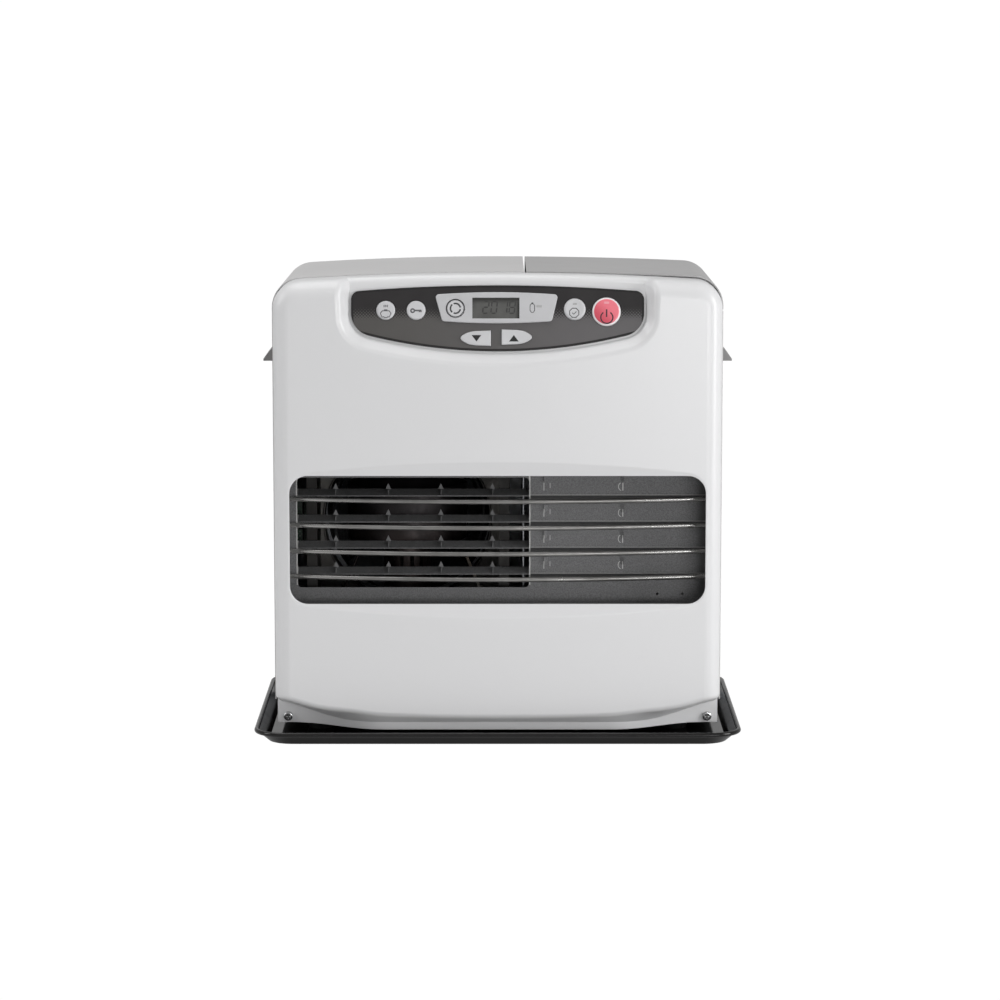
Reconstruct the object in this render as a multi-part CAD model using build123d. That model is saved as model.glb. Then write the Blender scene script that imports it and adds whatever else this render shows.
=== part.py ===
from build123d import *
import math
import os

# Paraffin heater, standing in its enamelled drip tray.
# Millimetres. The origin is the middle of the tray's footprint on the floor, the front looks along -Y
# and +Z is up. Left and right are the viewer's.

# Cabinet
cabinet_width = 425.0
cabinet_front = -80.0
cabinet_back = 136.0
cabinet_height = 440.5
half_cabinet = cabinet_width / 2
crown_rise = 7.5
cabinet_corner = 28.0
cabinet_sheet = 1.0
side_bottom = 32.0
return_width = 12.0
return_top = cabinet_height - 40.5
base_height = 10.0
base_side = 33.0
base_sheet = 1.2
foot_in = 42.5
foot_across = half_cabinet - foot_in
foot_places = (-60.0, 110.0)
foot_radii = (11.0, 14.0)

# Drip tray
tray_margin = 17.5
tray_width = cabinet_width + 2 * tray_margin
tray_depth = 300.0
tray_height = 13.0
tray_sheet = 1.0
tray_slope = 11.0
tray_corner = 30.0
tray_bead = 2.2

# Front panel
panel_inset = 2.5
half_panel = half_cabinet - panel_inset
panel_drop = 0.6
panel_height = cabinet_height - panel_drop
panel_face = -127.0
panel_bow = 4.5
panel_corner = 26.0
panel_shoulder = 16.0
panel_sheet = 1.0
lip_face = -118.0
lip_top = 17.0
lip_bend = (half_panel - 102.0, half_panel - 12.0)
flange_top = 34.0
flange_bend = (half_panel - 70.0, half_panel + 25.0)
turn_low = 23.0
turn_high = 40.5
turn_swell = 0.6
turn_radius = 6.0
undercut_step = 30.0
undercut_reach = 30.0
window_margin = 15.0
window_width = 2 * (half_panel - window_margin)
window_bottom = 131.3
window_top = 252.6
window_corner = 17.0
window_proud = 0.08
window_plane = panel_face + panel_bow * (window_width / 2 / half_panel) ** 2 - window_proud
window_bevel = 20.0
window_bevel_rise = 5.7
window_return = 7.0
crease_radius = 5.0
screw_in = 10.0
screw_across = half_panel - screw_in
screw_up = 16.0
screw_radius = 4.5
screw_head = 2.4
screw_seat = 0.95
rear_screw_heights = (70.0, 230.0, cabinet_height - 50.5)

# Control fascia, tilted back in its dish
fascia_tilt = 11.5
fascia_half = 136.5
fascia_top = 30.0
fascia_side_top = 24.2
fascia_bottom = -31.6
fascia_side_bottom = -12.5
fascia_small_corner = 8.0
fascia_large_corner = 22.0
fascia_sheet = 2.5
fascia_origin = (0.0, -113.1, cabinet_height - 40.5)
dish_margin = 1.5
dish_wall = 12.4
dish_radius = 7.0
fascia_overlap = 2.0

# Buttons: place on the fascia (across, up), radius or half size
button_gap = 0.35
button_stem = 6.0
save_at = (-104.2, 6.7)
lock_at = (-75.9, 6.7)
timer_at = (71.9, 7.6)
power_at = (101.4, 5.3)
enter_at = (-39.3, 8.2)
small_radius = 9.0
timer_radius = 10.2
power_radius = 13.4
enter_radius = 8.6
arrow_length = 28.2
arrow_height = 14.4
arrow_taper = 0.93
down_at = (-20.4, -19.5)
up_at = (17.8, -18.5)
press_travel = 1.0
key_proud = 1.0
timer_proud = 2.0
power_proud = 2.6
enter_proud = 0.2
arrow_proud = 1.8
bezel_low = ((-51.6, -3.6), (50.6, -3.6))
bezel_high = ((-58.4, 21.2), (56.4, 21.2))
bezel_bow = (23.4, 5.6)
bezel_corner = 3.0
bezel_thickness = 2.4
bezel_ledge = 2.5
display_at = (-1.6, 8.5)
display_size = (43.9, 19.5)
display_glass = (0.6, 1.6)
board_size = (254.0, 47.0)
board_down = 3.0
board_sheet = 1.6
board_posts = 123.0
switch_size = (6.0, 3.2)

# Tank lid
split_at = 26.0
split_gap = 2.0
lid_side = 35.5
lid_side_bottom = cabinet_height - lid_side
lid_gap = 2.0
lid_sheet = 1.2
lid_lip = 8.0
lid_crown = 5.2
lid_set_back = 7.0
hinge_y = 126.0
hinge_z = cabinet_height - 12.5
hinge_pin = 2.0
hinge_clearance = 0.05
hinge_places = (split_at + 23.25, half_cabinet - 37.25)
hinge_lug = (5.0, 9.0)
hinge_boss = 5.0
bracket_sheet = 1.2
bracket_foot = (12.0, 16.0)
bracket_low = hinge_z - 43.0
bracket_high = hinge_z - 17.0

# Louvre plate and guard rods
louvre_y = -85.0
louvre_sheet = 0.8
louvre_half = half_cabinet - return_width - 0.5
louvre_step = 3.0
louvre_low = 118.0
louvre_high = 262.0
slat_lips = (154.0, 179.0, 204.0, 229.0)
slat_depth = 15.0
slat_rise = 4.4
gusset_places = (-154.0, -104.0, -54.0, -5.0)
gusset_height = 5.0
mark_places = (43.8, 119.5)
mark_size = (5.8, 6.8)
mark_proud = 0.7
vent_places = (151.7, 175.5)
vent_up = 134.3
vent_radius = 1.2
bay_left = -190.0
bay_right = 30.0
bay_low = 140.5
bay_high = 245.7
bay_corner = 4.0
flange_low = 130.0
flange_high = 252.0
flange_foot = 8.0
rod_heights = (153.0, 177.3, 202.0, 227.0)
rod_diameter = 4.8
rod_clearance = 0.4
rod_end_y = -92.0
rod_bow_y = -115.0

# Warm air duct, fan and combustion
duct_left = -177.0
duct_right = 6.0
duct_low = 92.0
duct_high = 270.0
duct_front = -66.0
duct_back = 86.0
duct_sheet = 0.8
duct_feet_at = ((-160.0, -54.0), (-14.0, -54.0), (-118.0, 76.0), (-14.0, 76.0))
fan_x = -90.0
fan_z = 181.0
blade_count = 5
hub_radius = 18.0
hub_near = 8.0
hub_deep = 16.0
blade_root = (16.0, 1.6)
blade_root_turn = 34.0
blade_tip = (46.0, 1.4)
blade_tip_turn = 20.0
shaft_radius = 3.0
shaft_clearance = 0.05
fan_radius = 76.0
fan_gap = 6.0
orifice_radius = fan_radius + fan_gap
shroud_y = 86.0
shroud_depth = 16.0
chamber_x = -88.0
chamber_y = 8.0
chamber_radius = 58.0
neck_radius = 22.5
neck_top = 168.0
slot_count = 14
slot_width = 4.0
slot_height = 20.0
slot_margin = 6.0
chamber_sheet = 1.2
chamber_top = 246.0
dome_flat = 12.0
guard_y = 130.0
guard_rings = (38.0, 50.0, 62.0, 76.0)
guard_bar = 2.0
guard_sheet = 1.2
motor_radius = 27.0
motor_front = 26.0
filter_half = 92.0
filter_thickness = 9.0
filter_rim = 8.0
filter_cells = 6
filter_bar = 3.0
filter_net = 0.5
blower_x = -168.0
blower_z = 57.0
blower_front = 4.0
blower_deep = 30.0
blower_radius = 32.0
blower_wall = 1.5
blower_eye = 16.0
blower_throat = (10.0, 30.0)
wheel_radius = 26.0
wheel_eye = 20.0
wheel_hub = 6.0
vane_count = 20
vane_sheet = 1.2
pot_radius = 34.0
pot_flange = 42.0
pot_low = 46.0
stand_half = 38.0
stand_deep = 12.0
stand_sheet = 1.5

igniter_foot = (-8.0, -22.0)
igniter_tip = (-30.0, -6.0, 158.0)
igniter_radius = 4.0
sensor_foot = (-158.0, -16.0)
sensor_tip = (-136.0, -9.0, 159.0)
sensor_radius = 3.5

# Fuel tank and sump
partition_x = split_at - 2.0
tank_left = partition_x + 14.0
tank_right = half_cabinet - 21.5
tank_front = -36.0
tank_back = 90.0
tank_bottom = 74.3
tank_top = cabinet_height - 36.5
tank_corner = 14.0
tank_edge = 6.0
tank_sheet = 1.0
tank_band = (60.0, 5.0, 0.8)
sump_left = tank_left + 12.0
sump_right = tank_right - 1.0
sump_front = -74.0
sump_back = 78.0
sump_low = 22.0
sump_high = 62.0
sump_sheet = 1.2
sump_corner = 10.0
sump_leg = 5.0
cap_x = (tank_left + tank_right) / 2
cap_radius = 24.0
strainer_gap = 4.0
strainer_radius = cap_radius + strainer_gap + 1.0
collar_bore = strainer_radius + 1.3
collar_wall = 3.7
collar_radius = collar_bore + collar_wall
strainer_slots = 12
cap_y = 27.0
cap_wall = 3.0
neck_height = 8.0
valve_pin = (5.0, 8.0)
seat_gap = 0.3
bail_y = 30.0
bail_z = tank_top + 7.0
bail_half = 45.0
bail_reach = 40.0
bail_radius = 2.0
pump_x = sump_left + 16.0
pump_y = -56.0
pump_radius = 13.0
pump_height = 46.0
pump_coil = (16.0, 8.0, 34.0)
pump_stub = (4.0, 10.0)
pipe_high = 128.0
pipe_low = 62.0
pipe_radius = 2.0

# Lead opening in the back
gland_in = 52.5
gland_x = gland_in - half_cabinet
gland_z = 58.0
gland_neck = 7.0
gland_bore = 3.8

# Side handles
handle_y = 0.0
handle_half = 50.0
handle_top = 364.3
handle_low = 353.5
handle_reach = 10.5
pocket_low = 330.0
pocket_depth = 17.0
handle_wall = 2.0
handle_plate = 1.2

# Boards and sensors
mains_board = (-50.0, 60.0, 150.0, 300.0)
mains_lumps = (
    (10.0, 50.0, 170.0, 210.0, 22.4), (-40.0, -20.0, 170.0, 190.0, 16.4),
    (-40.0, -20.0, 200.0, 220.0, 16.4), (0.0, 40.0, 240.0, 260.0, 12.4),
)
mains_standoff = 6.0
tilt_at = (-51.0, -58.0)
tilt_size = (22.0, 16.0, 22.0)
sensor_at = (-188.0, 298.0)
sensor_clip = (12.0, 4.0, 16.0)
sensor_bead = 2.5

fascia_plane = Plane(
    origin=fascia_origin,
    x_dir=(1, 0, 0),
    z_dir=(0, -math.cos(math.radians(fascia_tilt)), math.sin(math.radians(fascia_tilt))),
)


def block(x0, x1, y0, y1, z0, z1):
    """A box between two corners."""
    return Pos((x0 + x1) / 2, (y0 + y1) / 2, (z0 + z1) / 2) * Box(x1 - x0, y1 - y0, z1 - z0)


def rounded_block(x0, x1, y0, y1, z0, z1, radius):
    """A box with rounded upright corners."""
    plan = Pos((x0 + x1) / 2, (y0 + y1) / 2, z0) * RectangleRounded(x1 - x0, y1 - y0, radius)
    return extrude(plan, z1 - z0, dir=(0, 0, 1))


def upright(x, y, z0, z1, radius):
    """A cylinder along Z."""
    return Pos(x, y, (z0 + z1) / 2) * Cylinder(radius, z1 - z0)


def along_y(x, z, y0, y1, radius):
    """A cylinder along Y."""
    return Pos(x, (y0 + y1) / 2, z) * Rot(90, 0, 0) * Cylinder(radius, y1 - y0)


def along_x(y, z, x0, x1, radius):
    """A cylinder along X."""
    return Pos((x0 + x1) / 2, y, z) * Rot(0, 90, 0) * Cylinder(radius, x1 - x0)


def tube_between(a, b, radius):
    """A round bar from one point to another."""
    path = Line(a, b)
    return sweep(Plane(origin=a, z_dir=path % 0) * Circle(radius), path=path)


def crown_outline(half, top, corner, bottom, inset=0.0, crown=crown_rise):
    """Front view of the cabinet: upright sides, rounded corners and a gently crowned top."""
    h = half - inset
    t = top - inset
    rise = crown * (h / half_cabinet) ** 2
    arch = ThreePointArc((-h, t - rise), (0, t), (h, t - rise))
    sides = Polyline((h, t - rise), (h, bottom), (-h, bottom), (-h, t - rise))
    outline = make_face(Plane.XZ * (arch + sides))
    corners = [v for v in outline.vertices() if v.Z > t - rise - 1]
    return fillet(corners, corner - inset)


# Tray and base

def drip_tray():
    """Pressed tray with sloping walls and a rolled rim."""
    def dish(inset, low, high):
        foot = Pos(0, 0, low) * RectangleRounded(
            tray_width - 2 * (tray_bead + tray_slope + inset),
            tray_depth - 2 * (tray_bead + tray_slope + inset),
            tray_corner - tray_bead - inset - 4,
        )
        rim = Pos(0, 0, high) * RectangleRounded(
            tray_width - 2 * (tray_bead + inset),
            tray_depth - 2 * (tray_bead + inset),
            tray_corner - tray_bead - inset,
        )
        return loft([foot, rim], ruled=True)

    bead_z = tray_height - tray_bead
    pan = dish(0, 0, bead_z) - dish(tray_sheet, tray_sheet, bead_z)
    path = Pos(0, 0, bead_z) * RectangleRounded(
        tray_width - 2 * tray_bead, tray_depth - 2 * tray_bead, tray_corner - tray_bead
    )
    wire = path.wire()
    start = wire.edges().sort_by(Axis.Y)[0].center()
    bead = sweep(Plane(origin=start, z_dir=(1, 0, 0)) * Circle(tray_bead), path=wire)
    return pan + bead


def base_pan():
    """Open steel pan that carries the burner, the sump and the cabinet's sides."""
    half = half_panel - panel_sheet - 0.5
    front = cabinet_front - base_sheet
    back = cabinet_back - cabinet_sheet
    top = base_height + base_side
    pan = rounded_block(-half, half, front, back, base_height, top, 6)
    hollow = rounded_block(
        -half + base_sheet, half - base_sheet, front + base_sheet, back - base_sheet,
        base_height + base_sheet, top + 1, 5,
    )
    pan = pan - hollow
    reach = half_cabinet - cabinet_sheet
    for side in (-1, 1):
        x0, x1 = sorted((side * (half - base_sheet), side * reach))
        pan = pan + block(x0, x1, cabinet_front + 1, back, top - base_sheet, top)
    return pan


def feet():
    """Four pressed feet under the base pan."""
    group = []
    low, high = foot_radii
    for x in (-foot_across, foot_across):
        for y in foot_places:
            foot = loft([Pos(x, y, tray_sheet) * Circle(low), Pos(x, y, base_height) * Circle(high)])
            group.append(foot)
    return group


# Cabinet

def cabinet_shell():
    """Wrap of the cabinet: the left side and the left of the top, in one bent sheet."""
    outer = crown_outline(half_cabinet, cabinet_height, cabinet_corner, side_bottom)
    inner = crown_outline(half_cabinet, cabinet_height, cabinet_corner, side_bottom - 1, cabinet_sheet)
    depth = cabinet_back - cabinet_sheet - cabinet_front
    wrap = extrude(outer - inner, depth, dir=(0, 1, 0))
    wrap = Pos(0, cabinet_front, 0) * wrap
    lid_room = block(
        split_at - split_gap / 2, half_cabinet + 1, cabinet_front - 1, cabinet_back + 1,
        side_bottom - 1, cabinet_height + 1,
    )
    inside = -half_cabinet + cabinet_sheet
    wrap = wrap + front_return(inside, inside + return_width)
    return wrap - lid_room - pocket_cut(-half_cabinet)


def front_return(x0, x1):
    """Inward flange down the front edge of a side, which the front pieces fix to."""
    return block(x0, x1, cabinet_front, cabinet_front + cabinet_sheet, base_height + base_side, return_top)


def right_side_panel():
    """Right side of the cabinet, up to the lid's edge."""
    low = side_bottom
    side = block(
        half_cabinet - cabinet_sheet, half_cabinet, cabinet_front, cabinet_back - cabinet_sheet,
        low, lid_side_bottom - lid_gap,
    )
    inside = half_cabinet - cabinet_sheet
    side = side + front_return(inside - return_width, inside)
    return side - pocket_cut(half_cabinet)


def pocket_cut(x):
    """Hole in a side for the handle's pocket."""
    return block(
        x - 3, x + 3, handle_y - handle_half + 4, handle_y + handle_half - 4,
        pocket_low + 3, handle_top - 1,
    )


def rear_panel():
    """Flat back with the fan opening, the lid notch and the cord opening."""
    outline = crown_outline(half_cabinet, cabinet_height, cabinet_corner, base_height)
    back = extrude(outline, cabinet_sheet, dir=(0, 1, 0))
    back = Pos(0, cabinet_back - cabinet_sheet, 0) * back
    notch_low = hinge_z - 16
    back = back - block(split_at - split_gap / 2, half_cabinet + 1, 100, 150, notch_low, cabinet_height + 10)
    back = back - along_y(fan_x, fan_z, cabinet_back - 5, cabinet_back + 5, orifice_radius)
    back = back - along_y(gland_x, gland_z, cabinet_back - 5, cabinet_back + 5, gland_neck)
    return back


def cord_gland():
    """Plastic bushing where a mains lead would enter."""
    neck = along_y(gland_x, gland_z, cabinet_back - 6, cabinet_back, gland_neck)
    flange = along_y(gland_x, gland_z, cabinet_back, cabinet_back + 3, gland_neck + 3)
    nut = along_y(gland_x, gland_z, cabinet_back - 6, cabinet_back - cabinet_sheet, gland_neck + 2.5)
    bore = along_y(gland_x, gland_z, cabinet_back - 8, cabinet_back + 5, gland_bore)
    return neck + flange + nut - bore


def rear_screws():
    """Screws that hold the back to the cabinet's sides."""
    group = []
    for x in (-screw_across, screw_across):
        for z in rear_screw_heights:
            group.append(along_y(x, z, cabinet_back, cabinet_back + screw_head, screw_radius))
    return group


# Front panel

def ease(x, bend):
    """0 up to the start of a bend across the front, 1 past its end, smooth between."""
    t = min(1.0, max(0.0, (abs(x) - bend[0]) / (bend[1] - bend[0])))
    return t * t * (3 - 2 * t)


def upturn(x):
    """0 at the middle of the front and 1 at its corners, a shallow bow that turns up quickly at the ends."""
    t = abs(x) / half_panel
    return turn_swell * t ** 2 + (1 - turn_swell) * t ** 6


def undercut(inset):
    """What the curved underside and the lip leave out below the front, lofted from sections across it."""
    seam = cabinet_front - base_sheet - panel_sheet
    out = panel_face - 20
    reach = half_panel + undercut_reach
    sections = []
    steps = round(reach / undercut_step)
    for n in range(-steps, steps + 1):
        x = reach * n / steps
        face = panel_face + panel_bow * (x / half_panel) ** 2
        lip = lip_face + (seam - lip_face) * ease(x, lip_bend)
        low = lip_top + (flange_top - lip_top) * ease(x, flange_bend)
        edge = turn_low + (turn_high - turn_low) * upturn(x)
        far = low + (edge - low) * (lip - out) / (lip - face)
        section = Polygon(
            (lip + inset, low + inset), (out + inset, far + inset), (out, -20), (lip + inset, -20), align=None
        )
        sections.append(Plane.YZ * Pos(0, 0, x) * section)
    return loft(sections)


def fresh_edges(body, before):
    """Edges of a body that a cut has made."""
    known = [(e.center(), e.length) for e in before.edges()]
    return [
        e for e in body.edges()
        if not any((e.center() - c).length < 0.02 and abs(e.length - size) < 0.02 for c, size in known)
    ]


def panel_form(inset):
    """The bowed front with its rounded shoulders, curved underside and lip, smaller all round by inset."""
    half = half_panel - inset
    face = panel_face + inset
    edge = face + panel_bow
    top = panel_height - inset
    low = base_height - inset
    wide = half + 10
    plan = make_face(
        Polyline((wide, edge), (wide, cabinet_front), (-wide, cabinet_front), (-wide, edge))
        + ThreePointArc((-wide, edge), (0, face), (wide, edge))
    )
    body = extrude(Pos(0, 0, low) * plan, top + 5 - low, dir=(0, 0, 1))
    outline = crown_outline(half_panel, panel_height, panel_corner, low - 1, inset)
    body = body & extrude(Pos(0, -200, 0) * outline, 200, dir=(0, 1, 0))
    front = body.faces().sort_by(Axis.Y)[0]
    rim = [e for e in front.edges() if e.center().Z > low + 1]
    body = fillet(rim, panel_shoulder - inset)
    turned = body - undercut(inset)
    turn = [
        e for e in fresh_edges(turned, body)
        if lip_top < e.center().Z < turn_high + 3 and e.center().Y < cabinet_front - 10
    ]
    return fillet(turn, turn_radius - inset)


def boat(grow, open_top=False):
    """Outline of the control fascia, flat above and full below."""
    half = fascia_half + grow
    top = fascia_top + grow
    side_top = fascia_side_top + grow
    low = fascia_bottom - grow
    side_low = fascia_side_bottom - grow
    if open_top:
        top = fascia_top + 40
        side_top = top
        upper = Line((half, side_top), (-half, side_top))
    else:
        upper = ThreePointArc((half, side_top), (0, top), (-half, side_top))
    outline = make_face(
        Line((-half, side_low), (-half, side_top))
        + upper
        + Line((half, side_top), (half, side_low))
        + ThreePointArc((half, side_low), (0, low), (-half, side_low))
    )
    low_corners = [v for v in outline.vertices() if v.Y < 0]
    outline = fillet(low_corners, fascia_large_corner + grow * 0.8)
    if not open_top:
        high_corners = [v for v in outline.vertices() if v.Y > side_top - 1]
        outline = fillet(high_corners, fascia_small_corner + grow)
    return outline


def dish_tool(deeper):
    """The dish that the fascia lies tilted back in, open at the top of the panel."""
    floor = fascia_plane.offset(-deeper) * boat(dish_margin + deeper * 0.4, True)
    mouth_plane = Plane.XZ * Pos(0, fascia_origin[2], 0.6 - panel_face - deeper)
    return loft([floor, mouth_plane * boat(dish_wall + deeper * 0.6, True)], ruled=True)


def dished_form(inset):
    """The front with its dish, and soft edges round the dish and across the brow above it."""
    plain = panel_form(inset)
    dished = plain - dish_tool(inset)
    soft = []
    for e in fresh_edges(dished, plain):
        at = e.center()
        wall = e.length > 16 and e.geom_type != GeomType.CIRCLE and abs(at.X) < fascia_half + 13.5
        on_face = at.Y < panel_face + 8
        on_shoulder = abs(at.X) > fascia_half + dish_margin + 1 and at.Z > panel_height - 20
        brow = e.length > 2 * fascia_half and at.Z > panel_height - inset - crown_rise
        if brow or (wall and (on_face or on_shoulder)):
            soft.append(e)
    return fillet(soft, dish_radius - inset)


def window_tool(grow):
    """Front view of the grille window."""
    middle = (window_bottom + window_top) / 2
    height = window_top - window_bottom
    return Plane.XZ * Pos(0, middle) * RectangleRounded(
        window_width + 2 * grow, height + 2 * grow, window_corner + grow
    )


def window_bevel_tool(deeper):
    """Shallow flare round the window, deepest at the middle of the bowed face."""
    rim = Pos(0, window_plane + deeper, 0) * window_tool(0)
    mouth = Pos(0, window_plane + deeper - window_bevel_rise, 0) * window_tool(window_bevel)
    return loft([rim, mouth], ruled=True)


def outer_form():
    """Outside of the front, with the soft crease round the window's flare."""
    plain = dished_form(0)
    flared = plain - window_bevel_tool(0)
    middle = (window_bottom + window_top) / 2
    half = (window_top - window_bottom) / 2
    crease = [
        e for e in fresh_edges(flared, plain)
        if abs(e.center().Z - middle) > half + 1 or abs(e.center().X) > window_width / 2 + 1
    ]
    return fillet(crease, crease_radius)


def front_panel():
    """Pressed steel front with the fascia dish and the grille window."""
    outer = outer_form()
    inner = dished_form(panel_sheet) - window_bevel_tool(panel_sheet)
    shell = outer - inner
    back = window_plane + window_return
    rim = extrude(Pos(0, back, 0) * (window_tool(panel_sheet) - window_tool(0)), 30, dir=(0, -1, 0))
    shell = shell + (rim & outer)
    shell = shell - extrude(Pos(0, back + 1, 0) * window_tool(0), 40, dir=(0, -1, 0))
    opening = extrude(fascia_plane.offset(-6) * boat(-fascia_overlap), 12, dir=fascia_plane.z_dir)
    return shell - opening


def panel_screws():
    """Cross-head screws through the panel's lower corners."""
    group = []
    seat = cabinet_front - base_sheet - panel_sheet - screw_seat
    for side in (-1, 1):
        head = along_y(side * screw_across, screw_up, seat - screw_head, seat, screw_radius)
        head = fillet(head.faces().sort_by(Axis.Y)[0].edges(), screw_head * 0.6)
        slot = Pos(side * screw_across, seat - screw_head, screw_up) * (Box(5, 2.4, 1) + Box(1, 2.4, 5))
        group.append(head - slot)
    return group


# Lid over the fuel tank

def tank_lid():
    """Right half of the top, hinged along the back, with its corner, lips and hinge lugs."""
    outer = crown_outline(half_cabinet, cabinet_height, cabinet_corner, lid_side_bottom, 0, lid_crown)
    inner = crown_outline(
        half_cabinet, cabinet_height, cabinet_corner, lid_side_bottom - 1, lid_sheet, lid_crown
    )
    front = cabinet_front + 1
    back = cabinet_back - 1
    left = split_at + split_gap / 2
    top = cabinet_height + 1
    roof = Pos(0, front, 0) * extrude(outer, back - front, dir=(0, 1, 0))
    skin = Pos(0, front, 0) * extrude(outer - inner, back - front, dir=(0, 1, 0))
    end = Pos(0, cabinet_front + lid_set_back, 0) * extrude(outer, lid_sheet, dir=(0, 1, 0))
    corner_start = half_cabinet - cabinet_corner + 9
    lip_low = cabinet_height - crown_rise - lid_lip
    end = end - block(left + lid_sheet, corner_start, front - 1, back, lid_side_bottom - 1, lip_low)
    rear = roof & block(left, half_cabinet, back - lid_sheet, back, hinge_z - 11, top)
    edge = roof & block(left, left + lid_sheet, front, back, lip_low + crown_rise - 3, top)
    lid = (skin + end + rear + edge) & block(left, half_cabinet + 1, front, back, lid_side_bottom, top)
    near, far = hinge_lug
    for x in hinge_places:
        lug = along_x(hinge_y, hinge_z, x + near, x + far, hinge_boss)
        web = block(x + near, x + far, hinge_y - hinge_boss, hinge_y + hinge_boss, hinge_z, top)
        bore = along_x(hinge_y, hinge_z, x, x + 2 * far, hinge_pin + hinge_clearance)
        notch = block(x - 2 * bracket_sheet, x + bracket_sheet, back - 3, back + 1, hinge_z - 12, hinge_z + 7)
        lid = lid - notch + (lug + (web & roof) - bore)
    return lid


def lid_brackets():
    """Pressed brackets on the back with the pins that the lid turns on."""
    group = []
    back = cabinet_back - cabinet_sheet
    front = back - bracket_sheet
    left, right = bracket_foot
    for x in hinge_places:
        foot = block(x - left, x + right, front, back, bracket_low, bracket_high)
        ear = block(x - bracket_sheet, x, hinge_y - 6, front, bracket_low + 10, bracket_high)
        ear = ear + block(x - bracket_sheet, x, hinge_y - 6, hinge_y + 5, bracket_high - 6, hinge_z)
        ear = ear + along_x(hinge_y, hinge_z, x - bracket_sheet, x, hinge_boss + 0.5)
        pin = along_x(hinge_y, hinge_z, x, x + hinge_lug[1] + 3, hinge_pin)
        group.append(foot + ear + pin)
    return group


# Controls

def on_fascia(shape, at=(0, 0), out=0.0):
    """Place a shape drawn facing +Z on the fascia's front, moved out along its normal."""
    return fascia_plane * Pos(at[0], at[1], out) * shape


def arrow_outline(at, point_left, gap=0.0):
    """Bullet outline of a temperature button: flat at one end and rounded at the other."""
    half = arrow_length / 2 + gap
    tall = arrow_height / 2 + gap
    shoulder = tall * arrow_taper
    cheek = (-half * 0.66, shoulder * 0.66)
    nose = Spline(
        (0, shoulder), cheek, (-half, 0), (cheek[0], -cheek[1]), (0, -shoulder),
        tangents=((-1, -0.12), (1, -0.12)),
    )
    bullet = make_face(Polyline((0, -shoulder), (half, -tall), (half, tall), (0, shoulder)) + nose)
    turn = 0 if point_left else 180
    return Pos(*at) * Rot(0, 0, turn) * bullet


def bezel_outline(gap=0.0):
    """Outline of the display surround, narrower below."""
    low_left, low_right = [(x + gap * math.copysign(1, x), y - gap) for x, y in bezel_low]
    high_left, high_right = [(x + gap * math.copysign(1, x), y + gap) for x, y in bezel_high]
    crown, belly = bezel_bow
    shape = make_face(
        Line(low_left, high_left)
        + ThreePointArc(high_left, (0, crown + gap), high_right)
        + Line(high_right, low_right)
        + ThreePointArc(low_right, (0, -belly - gap), low_left)
    )
    return fillet(shape.vertices(), bezel_corner)


def round_keys():
    """Place and radius of each round button."""
    return (
        (save_at, small_radius), (lock_at, small_radius),
        (timer_at, timer_radius), (power_at, power_radius),
    )


def control_fascia():
    """Boat-shaped fascia plate with its button holes and display opening."""
    plate = extrude(boat(0), fascia_sheet)
    for at, radius in round_keys():
        plate = plate - Pos(*at, 0) * Cylinder(radius + button_gap, 20)
    plate = plate - extrude(arrow_outline(down_at, True, button_gap), 10, both=True)
    plate = plate - extrude(arrow_outline(up_at, False, button_gap), 10, both=True)
    plate = plate - extrude(bezel_outline(-bezel_ledge), 10, both=True)
    return on_fascia(plate)


def display_bezel():
    """Raised surround of the display, with the window and the enter button's hole."""
    body = extrude(bezel_outline(), bezel_thickness)
    body = chamfer(body.faces().sort_by(Axis.Z)[-1].edges(), 0.6)
    body = body - Pos(*display_at, 0) * Box(*display_size, 20)
    body = body - Pos(*enter_at, 0) * Cylinder(enter_radius + button_gap, 20)
    return on_fascia(body, out=fascia_sheet)


def display_window():
    """Glass of the liquid crystal display."""
    middle, thickness = display_glass
    return on_fascia(Pos(*display_at, middle) * Box(*display_size, thickness), out=fascia_sheet)


def round_button(at, radius, proud):
    """Domed round key with its stem."""
    cap = Pos(*at, (proud - button_stem) / 2) * Cylinder(radius, proud + button_stem)
    return fillet(cap.faces().sort_by(Axis.Z)[-1].edges(), min(proud, radius * 0.3) * 0.8)


def save_button():
    return on_fascia(round_button(save_at, small_radius, fascia_sheet + key_proud))


def lock_button():
    return on_fascia(round_button(lock_at, small_radius, fascia_sheet + key_proud))


def timer_button():
    return on_fascia(round_button(timer_at, timer_radius, fascia_sheet + timer_proud))


def power_button():
    return on_fascia(round_button(power_at, power_radius, fascia_sheet + power_proud))


def enter_button():
    return on_fascia(round_button(enter_at, enter_radius, fascia_sheet + bezel_thickness + enter_proud))


def arrow_button(at, point_left):
    """Bullet-shaped key with its stem."""
    body = extrude(arrow_outline(at, point_left), fascia_sheet + arrow_proud)
    body = fillet(body.faces().sort_by(Axis.Z)[-1].edges(), 1.0)
    stem = Pos(at[0], at[1], -button_stem / 2) * Box(12, 8, button_stem)
    return on_fascia(body + stem)


def down_button():
    return arrow_button(down_at, True)


def up_button():
    return arrow_button(up_at, False)


def control_board():
    """Circuit board behind the fascia, with a switch behind each key."""
    depth = button_stem + press_travel + 0.3
    width, height = switch_size
    board = Pos(0, -board_down, -depth - height - board_sheet / 2) * Box(*board_size, board_sheet)
    places = [at for at, radius in round_keys()] + [enter_at, down_at, up_at]
    for at in places:
        board = board + Pos(at[0], at[1], -depth - height / 2) * Box(width, width, height)
    for x in (-board_posts, board_posts):
        board = board + Pos(x, 6, -(depth + height) / 2) * Cylinder(width / 2, depth + height)
    return on_fascia(board)


# Louvre plate and guard rods

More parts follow.
